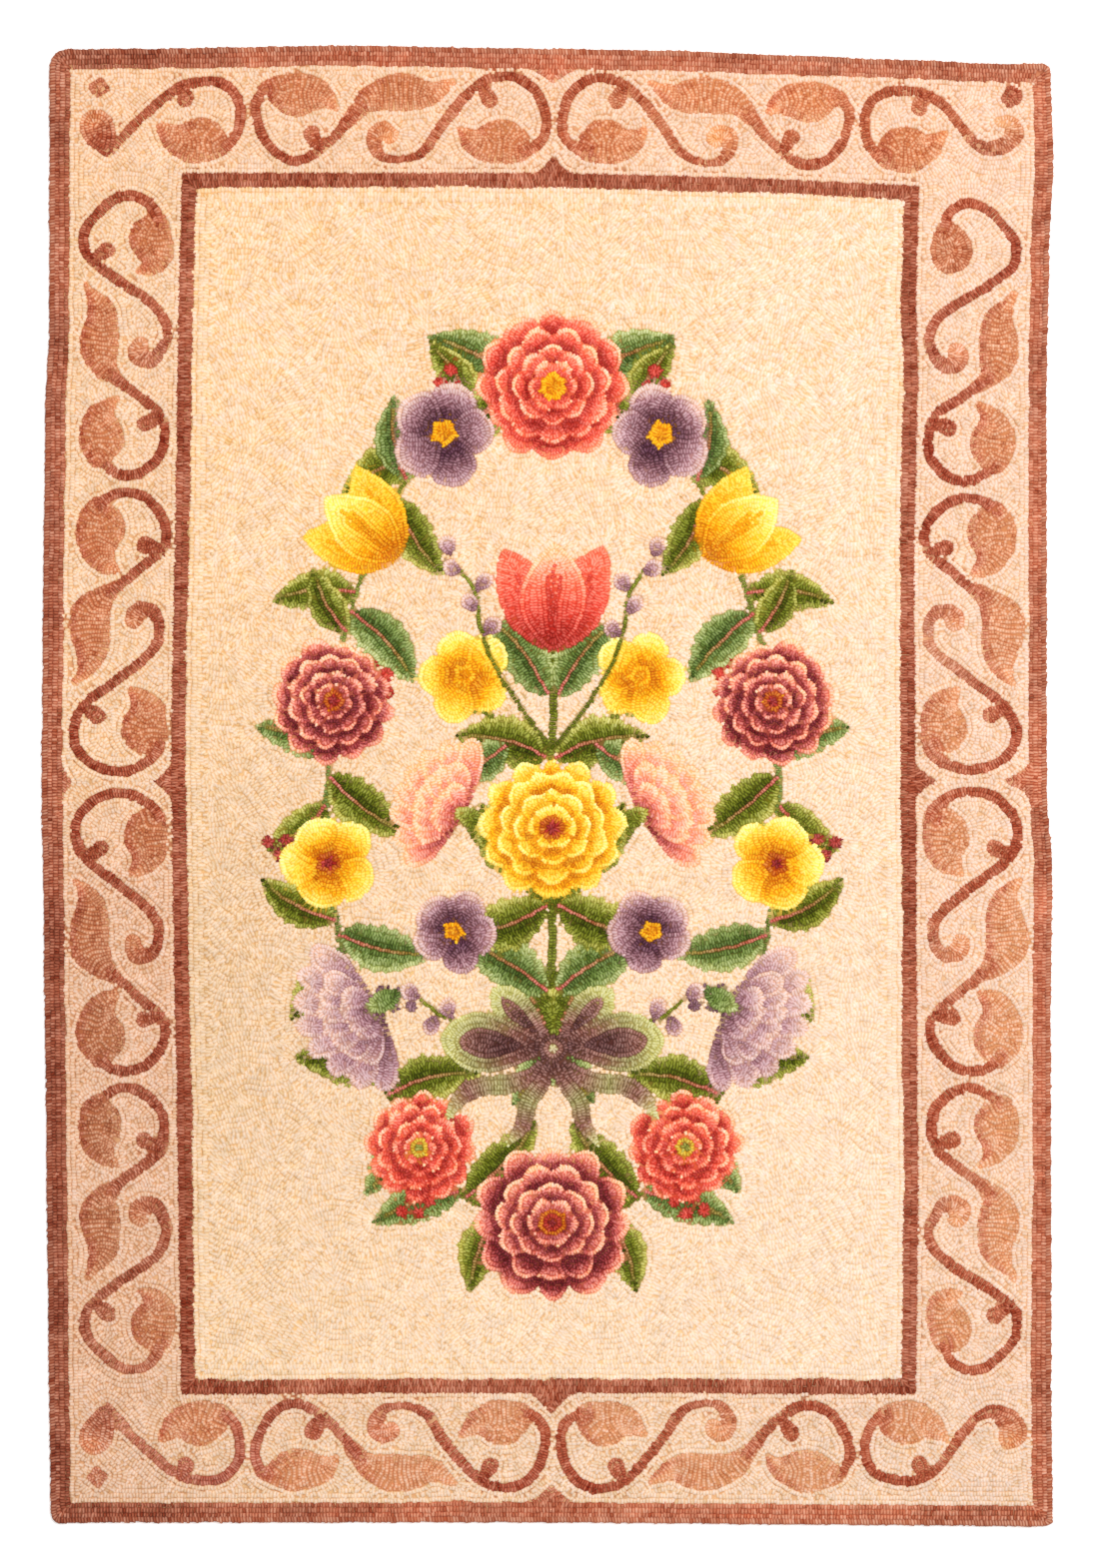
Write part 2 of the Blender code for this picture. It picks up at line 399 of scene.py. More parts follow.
# The corner scrolls end in a heart at the left and in a curl at the right, each a little differently
cornerVineEnd = [(-343, 705), (-321, 700), (-309, 686), (-307, 669), (-312, 650), (-324, 637)]
cornerVines = {
    "left": [(-441, 633), (-418, 657), (-393, 680), (-370, 697)],
    "upper right": [(-420, 654), (-408, 665), (-396, 680), (-383, 693), (-368, 702)],
    "lower right": [(-420, 640), (-404, 658), (-384, 688), (-364, 702)],
}
cornerEnds = {
    "left": [(-442, 634, 5), (-446, 645, 12), (-451, 657, 17), (-453, 661, 16)],
    "upper right": [(-418, 655, 5), (-431, 650, 7), (-444, 652, 8.5), (-455, 659, 9), (-459, 668, 8.5),
                    (-453, 677, 7), (-443, 677, 4.5)],
    "lower right": [(-420, 640, 5), (-432, 634, 5.5), (-444, 637, 9), (-453, 645, 13), (-456, 654, 14),
                    (-452, 661, 11)],
}
# Leaves: (x, y, half breadth), from the vine round the belly to the hooked tip; the long ones come first
scrollLeaves = [
    [(-205, 660, 5), (-193, 674, 8), (-180, 687, 12), (-165, 693, 16.5), (-148, 695, 18.5), (-132, 694, 16.5),
     (-118, 693, 12), (-106, 698, 8), (-93, 706, 3)],
    [(-427, 404, 5), (-437, 413, 8.5), (-446, 424, 13), (-449, 438, 19), (-448, 452, 19), (-446, 466, 16),
     (-448, 478, 13), (-455, 490, 7), (-463, 502, 3)],
    [(-428, 203, 5), (-440, 195, 9), (-451, 184, 14), (-459, 171, 19.5), (-459, 156, 20), (-457, 141, 17.5),
     (-458, 127, 13), (-464, 114, 7), (-473, 104, 3)],
    [(-321, 638, 5), (-332, 641, 14), (-346, 646, 22.5), (-358, 644, 19), (-370, 647, 14), (-379, 654, 9),
     (-388, 662, 3)],
    [(-286, 697, 5), (-272, 697, 12), (-254, 693, 21), (-240, 693, 18), (-228, 692, 13), (-219, 687, 8),
     (-212, 679, 3)],
    [(-22, 635, 5), (-32, 640, 15), (-46, 646, 22), (-58, 643, 18), (-70, 645, 13), (-79, 651, 8),
     (-87, 659, 3)],
    [(-452, 325, 6), (-450, 333, 14), (-447, 347, 22), (-449, 359, 19), (-448, 370, 14), (-441, 380, 8),
     (-431, 388, 3)],
    [(-452, 284, 6), (-451, 274, 14), (-449, 260, 24), (-452, 246, 20), (-450, 233, 15), (-443, 223, 10),
     (-434, 217, 4)],
    [(-391, 36, 6), (-397, 44, 14), (-404, 57, 22), (-401, 69, 19), (-402, 79, 15), (-408, 88, 10),
     (-417, 97, 3)],
]
# The first leaf below the corner, which is a round bulb at the upper right
firstLeaf = [(-387, 568, 6), (-392, 560, 15), (-397, 549, 22), (-392, 537, 18), (-392, 527, 13),
             (-399, 519, 8), (-410, 515, 3)]
firstBulb = [(-388, 566, 7), (-393, 558, 15), (-397, 548, 21.5), (-399, 544, 21)]
# Side buds: where they leave the vine, and the bud; the last one is missing at the upper right
scrollBuds = [
    ((-368, 701), (-362, 688)), ((-226, 641), (-235, 655)), ((-66, 703), (-58, 688)),
    ((-387, 369), (-403, 363)), ((-388, 238), (-405, 242)), ((-464, 80), (-450, 71)),
    ((-454, 528), (-442, 537)),
]

borderFold = foldedGround(borderGround, folds["x"], folds["y"], 11)


def partOf(ground, cells):  # the part of a folded ground where the given cells are
    chosen = cells.ravel()[ground["cell"]]
    return {name: values[chosen] for name, values in ground.items()}


onLeft, above = chartX < folds["x"], chartY > folds["y"]
quarters = {
    "all": borderFold, "left": partOf(borderFold, onLeft),
    "upper right": partOf(borderFold, ~onLeft & above), "lower right": partOf(borderFold, ~onLeft & ~above),
    "but upper right": partOf(borderFold, onLeft | ~above),
}
leafDyes = ["leafRust", "terracotta", "terracotta", "terracotta", "terracottaPale"]
for quarter, leaf in [("all", leaf) for leaf in scrollLeaves] + [("but upper right", firstLeaf)]:
    stroke(quarters[quarter], leaf, leafDyes, "scrollLeaf")
stroke(quarters["upper right"], firstBulb, ["leafRust", "terracotta", "terracotta"], "scroll", inStep=False)
corners = [(quarter, vine + cornerVineEnd) for quarter, vine in cornerVines.items()]
for quarter, vine in corners + [("all", vine) for vine in scrollVines]:
    line = [place + (vineHalf,) for place in vine]
    stroke(quarters[quarter], line, ["leafRust", "vineRust", "leafRust"], "scroll")
for quarter, curl in list(cornerEnds.items()) + [("all", curl) for curl in scrollCurls]:
    stroke(quarters[quarter], curl, ["vineRust", "leafRust", "terracottaPale"], "scroll", inStep=False)
for number, ((x0, y0), (x1, y1)) in enumerate(scrollBuds):
    quarter = "but upper right" if number == len(scrollBuds) - 1 else "all"
    stroke(quarters[quarter], [(x0, y0, 4), (x1, y1, 8.5)], ["vineRust", "leafRust"], "scroll", inStep=False)


def cellsOf(kind):  # the cells of all the patches of one kind
    return (np.array(patchKinds) == kind)[patch]


def lobedDot(ground, x, y, radius, lobes, depth, dyes, kind):
    # a dot whose edge swings in and out: radius * (1 + depth * cos(lobes * bearing))
    found, dx, dy = near(ground, x, y, radius * (1 + depth) + 1)
    edge = radius * (1 + depth * np.cos(lobes * np.arctan2(dy, dx) + 0.6))
    share = np.hypot(dx, dy) / edge
    inside = share < 1
    hook(ground["cell"][found[inside]], shadeRun(dyes, share[inside]), kind)


# The dots in the corners: quarter, place, radius, lobes, how deep they are, and dyes
for quarter, x, y, radius, lobes, swing, dyes in [
    ("left", -450, 700, 9.5, 4, 0.16, ["terracotta", "leafRust"]),
    ("upper right", -455, 702, 10.5, 5, 0.06, ["vineRust", "vineRust"]),
]:
    lobedDot(quarters[quarter], x, y, radius, lobes, swing, dyes, "scroll")
leafFade = 0.34 * unit(0.2 + chartX / 800 - chartY / 900)
vineFade = 0.4 * unit(-chartX / 500) * unit(-chartY / 740) ** 2
# Places where the vines and curls were hooked in paler wool: place, reach, how pale
for x, y, reach, pale in [
    (398, 140, 46, 0.5), (412, 436, 26, 0.45), (407, -422, 32, 0.32), (168, -648, 30, 0.3),
    (398, 60, 34, 0.3), (455, 657, 26, 0.3), (-394, 430, 24, 0.2), (-165, -648, 28, 0.3),
    (394, -170, 34, 0.3), (465, -650, 24, 0.2), (-445, -655, 42, 0.34),
]:
    spot = pale * np.exp(-((chartX - x) ** 2 + (chartY - y) ** 2) / reach**2)
    vineFade, leafFade = np.maximum(vineFade, spot), np.maximum(leafFade, 0.7 * spot)
for kind, fade in [("scrollLeaf", leafFade), ("scroll", vineFade)]:
    cells = cellsOf(kind)
    dye[cells] += fade[cells][:, None] * (wool["borderBlush"] - dye[cells])
# Where the scroll was dyed otherwise: kind, middle and reach, and what its red, green and blue gain there
for kind, x, y, reachX, reachY, gain in [
    ("scroll", -440, 250, 90, 420, (-0.10, -0.17, -0.17)),
    ("scroll", -440, -330, 90, 280, (-0.15, -0.22, -0.22)),
    ("scroll", 220, 680, 320, 70, (0.08, 0.22, 0.18)),
    ("scroll", 440, 330, 90, 260, (-0.08, -0.19, -0.16)),
    ("scroll", -250, -690, 260, 70, (-0.08, -0.25, -0.20)),
    ("scrollLeaf", -440, -330, 90, 300, (-0.13, -0.13, -0.10)),
    ("scrollLeaf", 200, 680, 300, 70, (0.07, 0.11, 0.10)),
]:
    cells = cellsOf(kind)
    there = np.exp(-((chartX[cells] - x) / reachX) ** 2 - ((chartY[cells] - y) / reachY) ** 2)
    dye[cells] *= 1 + there[:, None] * np.array(gain)
print("scroll border charted:", len(patchKinds), "patches so far")

# The flower wreath and the spray inside it: the right half is the left half folded over

middleX = folds["x"]
fieldFold = foldedGround(fieldGround, middleX, None, 8)


def onBearing(ground, x, y, turn, length):
    # the cells near a place, their places from it, how far they are along the bearing, as shares of the
    # length, and how far to its side
    found, dx, dy = near(ground, x, y, length + 2)
    sine, cosine = np.sin(turn), np.cos(turn)
    return found, dx, dy, (dx * sine + dy * cosine) / length, dx * cosine - dy * sine


def petal(ground, x, y, turn, length, half, dyes, kind="flowers", start=0.0, swell=1.3, blunt=0.55,
          shown=0.0):
    # a petal on the bearing turn, clockwise from up: at the share t of its length its half breadth is
    # half * sin(pi * t ** swell) ** blunt, so swell moves its widest place and blunt rounds its end; the dyes
    # run from where it comes out from under the next petals to its tip, and are paler along its rim
    found, dx, dy, t, sideways = onBearing(ground, x, y, turn, length)
    t = (t - start) / (1 - start)
    shut = unit(t)
    breadth = half * np.maximum(np.sin(np.pi * shut**swell), 0) ** blunt
    inside = (t > 0) & (t < 1) & (abs(sideways) < breadth)
    rim = 0.24 * unit(1 - (breadth - abs(sideways)) / 5.0)
    share = unit((t - shown) / (1 - shown)) ** 0.9 + rim + 0.13 * (0.9 * dy - 0.45 * dx) / length
    hook(ground["cell"][found[inside]], shadeRun(dyes, share[inside]), kind)


def rosette(ground, x, y, radius, rings, dyes, heart, turn=0.0):
    # rings of petals from the outermost in, each ring's petals between those of the one outside it
    for ring, (count, outer, inner, fat) in enumerate(rings):
        cover = rings[ring + 1][1] if ring + 1 < len(rings) else 0.15
        shown = 0.85 * max(0, (cover - inner) / (outer - inner))
        for one in range(count):
            bearing = turn + 2 * np.pi * (one + 0.5 * (ring % 2)) / count + chance.normal(0, 0.035)
            shades = dyes if one % 2 else dyes[:1] + dyes
            length = outer * radius * (1 + chance.normal(0, 0.035))
            half = fat * radius * (1 + chance.normal(0, 0.06))
            petal(ground, x, y, bearing, length, half, shades, start=inner / outer, shown=shown)
    lobedDot(ground, x, y, 0.17 * radius, 7, 0.08, heart, "flowers")


def dahlia(ground, x, y, radius, dyes, heart, turn=0.0):  # rings: petals, outer and inner end, half breadth
    rings = [(12, 1.0, 0.34, 0.25), (11, 0.76, 0.24, 0.21), (8, 0.52, 0.12, 0.19), (6, 0.32, 0.04, 0.14)]
    rosette(ground, x, y, radius, rings, dyes, heart, turn)


def blossom(ground, x, y, radius, dyes, heart, turn=0.0):  # one ring of five broad petals round a dot
    rosette(ground, x, y, radius, [(5, 1.0, 0.08, 0.46)], dyes, heart, turn)
    lobedDot(ground, x, y, 0.24 * radius, 5, 0.14, heart, "flowers")


def tulip(ground, x, y, size, turn, dyes):
    # two outer petals behind, and the middle petal in front
    for tilt, length, fat, shades in [
        (-0.46, 0.97, 0.25, dyes[:-1]), (0.46, 0.97, 0.25, dyes[:-1]), (0.0, 0.92, 0.29, dyes),
    ]:
        petal(ground, x, y, turn + tilt, length * size, fat * size, shades, swell=0.9, blunt=0.75, shown=0.12)
        for lean, reach in [(-0.09, 0.62), (0.0, 0.72), (0.09, 0.62)]:
            bearing = turn + tilt + lean
            points = [(x + at * size * np.sin(bearing), y + at * size * np.cos(bearing), 1.9)
                      for at in (0.16, 0.4 * reach + 0.08, reach)]
            stroke(ground, points, dyes[:2], "flowers")


def carnation(ground, x, y, size, turn, dyes, cup):
    # a fan of narrow petals in three tiers, over a long cup
    for tier, (count, length, fat) in enumerate([(8, 1.0, 0.17), (7, 0.72, 0.15), (4, 0.46, 0.14)]):
        for one in range(count):
            tilt = 1.15 * (1 - 0.22 * tier) * (2 * one / (count - 1) - 1)
            shades = dyes if (one + tier) % 2 else dyes[:1] + dyes
            petal(ground, x, y, turn + tilt, length * size, fat * size, shades, swell=2.2, blunt=0.5)
    petal(ground, x - 0.3 * size * np.sin(turn), y - 0.3 * size * np.cos(turn), turn, 0.48 * size,
          0.13 * size, cup, kind="leaves", swell=1.1, blunt=0.7)


def veinedLeaf(ground, x, y, turn, length, half, bow, dyes, vein):
    # a leaf on a bearing: both halves are one sine arch, hooked apart in two shades, with a vein between
    found, _, _, t, sideways = onBearing(ground, x, y, turn, length)
    shut = unit(t)
    sideways = sideways - bow * length * np.sin(np.pi * shut)
    teeth = 1 + 0.07 * np.sin(2 * np.pi * shut * length / 13)
    breadth = half * np.maximum(np.sin(np.pi * shut**0.8), 0) ** 0.8 * teeth
    inside = (t > 0) & (t < 1) & (abs(sideways) < breadth)
    for part, lighter in [(sideways >= 0, 0.24), (sideways < 0, 0.04)]:
        share = (abs(sideways) / np.maximum(breadth, 1)) ** 1.2 * (0.8 + 0.3 * t) + lighter
        chosen = inside & part
        hook(ground["cell"][found[chosen]], shadeRun(dyes, share[chosen]), "leaves")
    ribs = inside & (abs(sideways) < 1.8) & (t < 0.86)
    hook(ground["cell"][found[ribs]], shadeRun(vein, t[ribs]), "leaves", sideways[ribs])


def berries(ground, x, y, turn, count, dyes):  # a short sprig with a berry on each side in turn
    for one in range(count):
        step = 9 * (one + 1)
        side = 7.5 * (1 if one % 2 else -1)
        bx = x + step * np.sin(turn) + side * np.cos(turn)
        by = y + step * np.cos(turn) - side * np.sin(turn)
        lobedDot(ground, bx, by, 6.8, 2, 0.04, dyes, "flowers")


coralRun = ["brick", "coral", "coralPale", "shellPink"]
roseRun = ["wine", "burgundy", "dustyRose", "petalPink", "shellPink"]
yellowRun = ["amber", "gold", "lemon", "lemonPale"]
violetRun = ["plum", "mauve", "lavender", "lilacPale"]
greenRun = ["forest", "moss", "leafGreen", "springGreen"]
blueGreenRun = ["bottleGreen", "sage", "sagePale"]
leafVein = ["dustyRose", "leafGreen"]
ribbonRun = ["ribbonShade", "ribbonMauve", "ribbonSage", "ribbonPale"]
goldHeart = ["amber", "gold"]
darkHeart = ["wine", "brick", "amber"]
mossHeart = ["moss", "springGreen", "gold"]

wreath = {"x": middleX, "y": -18, "halfWidth": 226, "halfLength": 424}


def onWreath(degrees, out=0.0):  # a place on the wreath's oval, out millimetres outside it; 0 is the top
    a = np.radians(degrees)
    return (wreath["x"] - (wreath["halfWidth"] + out) * np.sin(a),
            wreath["y"] + (wreath["halfLength"] + out) * np.cos(a))


ring = [onWreath(degrees) + (3.2,) for degrees in range(0, 181, 9)]
stroke(fieldFold, ring, ["moss", "leafGreen", "sage", "moss", "leafGreen"], "leaves")
greens = [greenRun, blueGreenRun]
# Leaves of the wreath: degrees, bearing (degrees, clockwise from up), length, half breadth, bow, which greens
wreathLeaves = [
    (8, -62, 88, 19, 0.06, 1), (14, -138, 74, 17, -0.06, 0), (22, -28, 66, 15, 0.08, 0),
    (33, -118, 82, 18, 0.06, 0), (40, -8, 70, 15, -0.08, 1), (44, -212, 74, 17, 0.05, 0),
    (60, -96, 72, 16, 0.08, 0), (63, -222, 80, 18, -0.06, 1), (66, -28, 60, 14, -0.06, 0),
    (83, -70, 66, 15, 0.08, 1), (86, -232, 84, 18, 0.05, 0), (90, -128, 64, 15, -0.06, 0),
    (106, -60, 72, 16, -0.08, 0), (108, -258, 82, 18, 0.06, 1), (112, -138, 66, 15, 0.06, 0),
    (130, -78, 74, 17, 0.07, 0), (133, -282, 80, 18, -0.06, 0), (139, -150, 68, 15, -0.07, 1),
    (156, -110, 80, 17, 0.06, 1), (158, -318, 84, 18, 0.05, 0), (166, -160, 70, 16, 0.08, 0),
]
for degrees, bearing, length, half, bow, which in wreathLeaves:
    veinedLeaf(fieldFold, *onWreath(degrees), np.radians(bearing), 1.2 * length, 1.3 * half, bow,
               greens[which], leafVein)
# Sprigs of berries: degrees, how far outside the oval, bearing, dyes
for degrees, out, bearing, dyes in [
    (24, 12, -20, ["coral", "brick"]), (51, 18, -60, ["lavender", "plum"]),
    (70, -20, -240, ["coral", "brick"]), (95, 22, -100, ["coral", "wine"]),
    (119, -22, -270, ["lavender", "plum"]), (150, 20, -140, ["coral", "brick"]),
]:
    berries(fieldFold, *onWreath(degrees, out), np.radians(bearing), 4, dyes)

blossom(fieldFold, *onWreath(29), 52, violetRun, goldHeart, 0.3)
tulip(fieldFold, *onWreath(51, -30), 104, np.radians(-52), yellowRun)
dahlia(fieldFold, *onWreath(76), 62, roseRun, darkHeart, 0.2)
blossom(fieldFold, *onWreath(98), 50, yellowRun, darkHeart, 0.9)
carnation(fieldFold, *onWreath(120, -26), 88, np.radians(-118), violetRun, blueGreenRun)
dahlia(fieldFold, *onWreath(144), 58, coralRun, mossHeart, 0.1)
dahlia(fieldFold, middleX, wreath["y"] + wreath["halfLength"] - 6, 78, coralRun, goldHeart)
dahlia(fieldFold, middleX, wreath["y"] - wreath["halfLength"] + 4, 80, roseRun, darkHeart)
print("wreath charted:", len(patchKinds), "patches so far")

# The spray in the middle
sprayStems = [
    [(5, -262, 4.4), (5, -160, 4.4), (5, -40, 4.4), (5, 90, 4.2), (5, 150, 4)],
    [(5, -120, 4), (-30, -95, 4), (-62, -62, 4), (-84, -28, 4)],
    [(5, -30, 4), (-24, 10, 4), (-52, 58, 4), (-70, 92, 4)],
    [(5, -190, 4), (-34, -190, 4), (-62, -176, 4), (-84, -150, 4)],
]
for stem in sprayStems:
    stroke(fieldFold, stem, ["moss", "leafGreen", "moss"], "leaves")
# Its leaves: place, bearing, length, half breadth, bow, which greens
for x, y, bearing, length, half, bow, which in [
    (0, -255, -28, 74, 17, 0.08, 0), (0, -250, -152, 70, 16, -0.08, 1), (0, -205, -62, 92, 20, 0.06, 1),
    (0, -120, -108, 90, 20, -0.06, 0), (-40, -90, -20, 70, 16, 0.07, 0), (0, 30, -78, 84, 19, 0.08, 0),
    (0, 92, -38, 86, 18, 0.06, 1), (-40, 42, -118, 62, 15, -0.06, 1), (-60, 76, -70, 50, 12, 0.06, 0),
    (-70, -168, -20, 56, 13, 0.08, 0),
]:
    veinedLeaf(fieldFold, x, y, np.radians(bearing), 1.12 * length, 1.3 * half, bow, greens[which], leafVein)
tulip(fieldFold, middleX, 136, 118, 0.0, coralRun)
blossom(fieldFold, -84, 110, 47, yellowRun, goldHeart, -0.3)
carnation(fieldFold, -80, -30, 78, np.radians(-62), roseRun, greenRun)
blossom(fieldFold, -94, -146, 44, violetRun, goldHeart, 0.5)
dahlia(fieldFold, middleX, -42, 74, yellowRun, darkHeart, 0.1)
for stem, bells in [
    ([(2, 40, 2.6), (-40, 96, 2.6), (-66, 150, 2.6), (-74, 196, 2.4), (-96, 226, 2.2)],
     [(-66, 150, 48), (-70, 172, -38), (-73, 194, 40), (-84, 212, -60), (-97, 228, -10)]),
    ([(2, -214, 2.6), (-52, -236, 2.6), (-96, -236, 2.4), (-126, -216, 2.2)],
     [(-74, -238, 176), (-96, -236, -20), (-112, -228, 200), (-127, -214, -60)]),
]:
    stroke(fieldFold, stem, ["moss", "leafGreen"], "leaves")
    for x, y, bearing in bells:
        petal(fieldFold, x, y, np.radians(bearing), 24, 8.5, violetRun, swell=1.5, blunt=0.6)
# The bow that ties the spray: back loop, front loop with its hollow, two tails and the knot
knotY = -262
for bearing, length, half, hollow in [(-46, 84, 20, 0.35), (-86, 112, 30, 0.5)]:
    turn = np.radians(bearing)
    petal(fieldFold, middleX, knotY, turn, length, half, ribbonRun, swell=1.6, blunt=0.62, shown=0.15)
    petal(fieldFold, middleX, knotY, turn, 0.84 * length, hollow * half,
          ["ribbonShade", "ribbonShade", "ribbonMauve"], start=0.3, swell=1.5, blunt=0.6)
for tail in [
    [(2, -270, 5), (-16, -288, 8), (-38, -298, 10), (-62, -300, 10), (-84, -310, 9), (-98, -330, 3.5)],
    [(3, -272, 5), (-6, -296, 8), (-20, -316, 9), (-26, -340, 8), (-40, -358, 2.5)],
]:
    shades = ["ribbonShade", "ribbonMauve", "ribbonSage", "ribbonMauve", "ribbonPale"]
    stroke(fieldFold, tail, shades, "flowers")
lobedDot(fieldFold, middleX, knotY, 14, 4, 0.05, ["ribbonPale", "ribbonMauve", "ribbonShade"], "flowers")
print("spray charted:", len(patchKinds), "patches in all")

# Hooking: the rows of loops echo the edge of their patch, and out in the field they meander

field = patchKinds.index("field")
edges = np.any([patch != np.roll(patch, step, axis) for axis in (0, 1) for step in (1, -1)], axis=0)
edgeDepth = stepsTo(edges, 60) + 0.5
meander = np.zeros(patch.shape, bool)
# Lines that the field's rows echo: how far apart, and their swings: height, length and how they shift
meanders = {"apart": 92, "swings": [(22, 47, 1.0), (15, 23, 2.1), (8, 11, 1.0)]}
for start in range(-640, 660, meanders["apart"]):
    swing = sum(high * np.sin(across / long + shift * start) for high, long, shift in meanders["swings"])
    rows = np.round((start + swing + chart["halfLength"]) / chart["cell"]).astype(int)
    spread = np.arange(-3, 4)[:, None]
    at = np.clip(rows + spread, 0, len(along) - 1)
    meander[at, np.arange(len(across))] = True
meanderReach = stepsTo(meander, 60)

depth = edgeDepth.copy()
openField = (patch == field) & (edgeDepth > hooking["echoRows"] * hooking["row"])
patch[openField] = len(patchKinds)
patchKinds.append("field")
kindOfPatch = np.array(patchKinds)
depth[openField] = meanderReach[openField] + 2 * hooking["row"]
depth[outerBand] = (edgeReach * bandStyle["width"] / bandBreadth)[outerBand]
depth[frameLine] = (lineReach * bandStyle["lineWidth"] / lineBreadth)[frameLine]


def softened(values, times):  # each cell mixed with its neighbours, 1-2-1 down and across
    for _ in range(times):
        values = np.pad(values, 1, mode="edge")
        values = (values[:-2] + 2 * values[1:-1] + values[2:]) / 4
        values = (values[:, :-2] + 2 * values[:, 1:-1] + values[:, 2:]) / 4
    return values


def softenedInside(values, times):  # the same 1-2-1 mix, but a neighbour in another patch doesn't count
    alike = [patch == np.roll(patch, step, axis) for axis in (0, 1) for step in (1, -1)]
    for _ in range(times):
        for axis in (0, 1):
            before = np.where(alike[2 * axis], np.roll(values, 1, axis), values)
            after = np.where(alike[2 * axis + 1], np.roll(values, -1, axis), values)
            values = (before + 2 * values + after) / 4
    return values


# A patch's rows share its breadth evenly; the grounds and bands keep theirs, and a thin vein has one
deepest = np.zeros(len(patchKinds), np.float32)
np.maximum.at(deepest, patch.ravel(), edgeDepth.ravel())
rowOf = deepest / np.maximum(1, np.round(deepest / hooking["smallRow"]))
rowOf = np.clip(rowOf, hooking["least"], hooking["most"])
rowOf[kindOfPatch == "field"] = hooking["row"]
rowOf[kindOfPatch == "border"] = hooking["smallRow"]
rowOf[kindOfPatch == "scrollLeaf"] = hooking["leafRow"]
rowOf[kindOfPatch == "band"] = bandStyle["width"] / 3
rowOf[kindOfPatch == "line"] = bandStyle["lineWidth"] / 2
veins = np.unique(patch[~np.isnan(lineSide)])
rowOf[veins] = hooking["veinRow"]
rowOf = rowOf.astype(np.float32)
depth = softenedInside(depth, 3)
# A scroll leaf's rows run across it, and its left edge is dark
acrossLeaf = cellsOf("scrollLeaf")
leftEdge = unit(np.gradient(softenedInside(edgeDepth, 4), axis=1) * 1.4) * unit(1.2 - edgeDepth / 9)
dye[acrossLeaf] *= 1 - leftEdge[acrossLeaf][:, None] * np.array([0.16, 0.42, 0.44])
depth[acrossLeaf] = (wayAlong + 1.6 * cloud(16, 21) + 0.8 * cloud(7, 22))[acrossLeaf]
depth = np.where(acrossLeaf, softenedInside(depth, 8), depth)
wayAlong[acrossLeaf] = np.nan
thin = ~np.isnan(lineSide)
depth[thin] = lineSide[thin] + rowOf[patch[thin]] / 2
# The loops lie square to their row: the slope's bearing, doubled so that opposite slopes agree, and smoothed
slopeY, slopeX = np.gradient(depth)
doubleX, doubleY = softened(slopeX**2 - slopeY**2, 10), softened(2 * slopeX * slopeY, 10)
squareTurn = 0.5 * np.arctan2(doubleY, doubleX)

# A loop's pitch in millimetres, how full it is along and across its row, how far it may turn, how far it may
# slip across the row in millimetres, how much deeper or paler its dye may be from loop to loop and strip to
# strip, and how far its ends drop below its crown
loopStyle = {
    "band": (3.1, 1.08, 1.24, 0.11, 0.28, 0.17, 0.06, 0.6),
    "line": (3.1, 1.06, 1.14, 0.08, 0.22, 0.18, 0.06, 0.55),
    "border": (3.2, 1.34, 1.16, 0.18, 0.40, 0.10, 0.03, 0.9),
    "field": (3.4, 1.34, 1.18, 0.20, 0.40, 0.10, 0.03, 0.7),
    "scroll": (2.8, 1.08, 1.12, 0.12, 0.26, 0.20, 0.05, 0.9),
    "scrollLeaf": (2.8, 1.36, 1.0, 0.10, 0.20, 0.17, 0.05, 1.8),
    "flowers": (2.9, 1.18, 1.12, 0.18, 0.30, 0.10, 0.05, 0.7),
    "leaves": (2.9, 1.16, 1.12, 0.20, 0.35, 0.12, 0.05, 0.7),
}


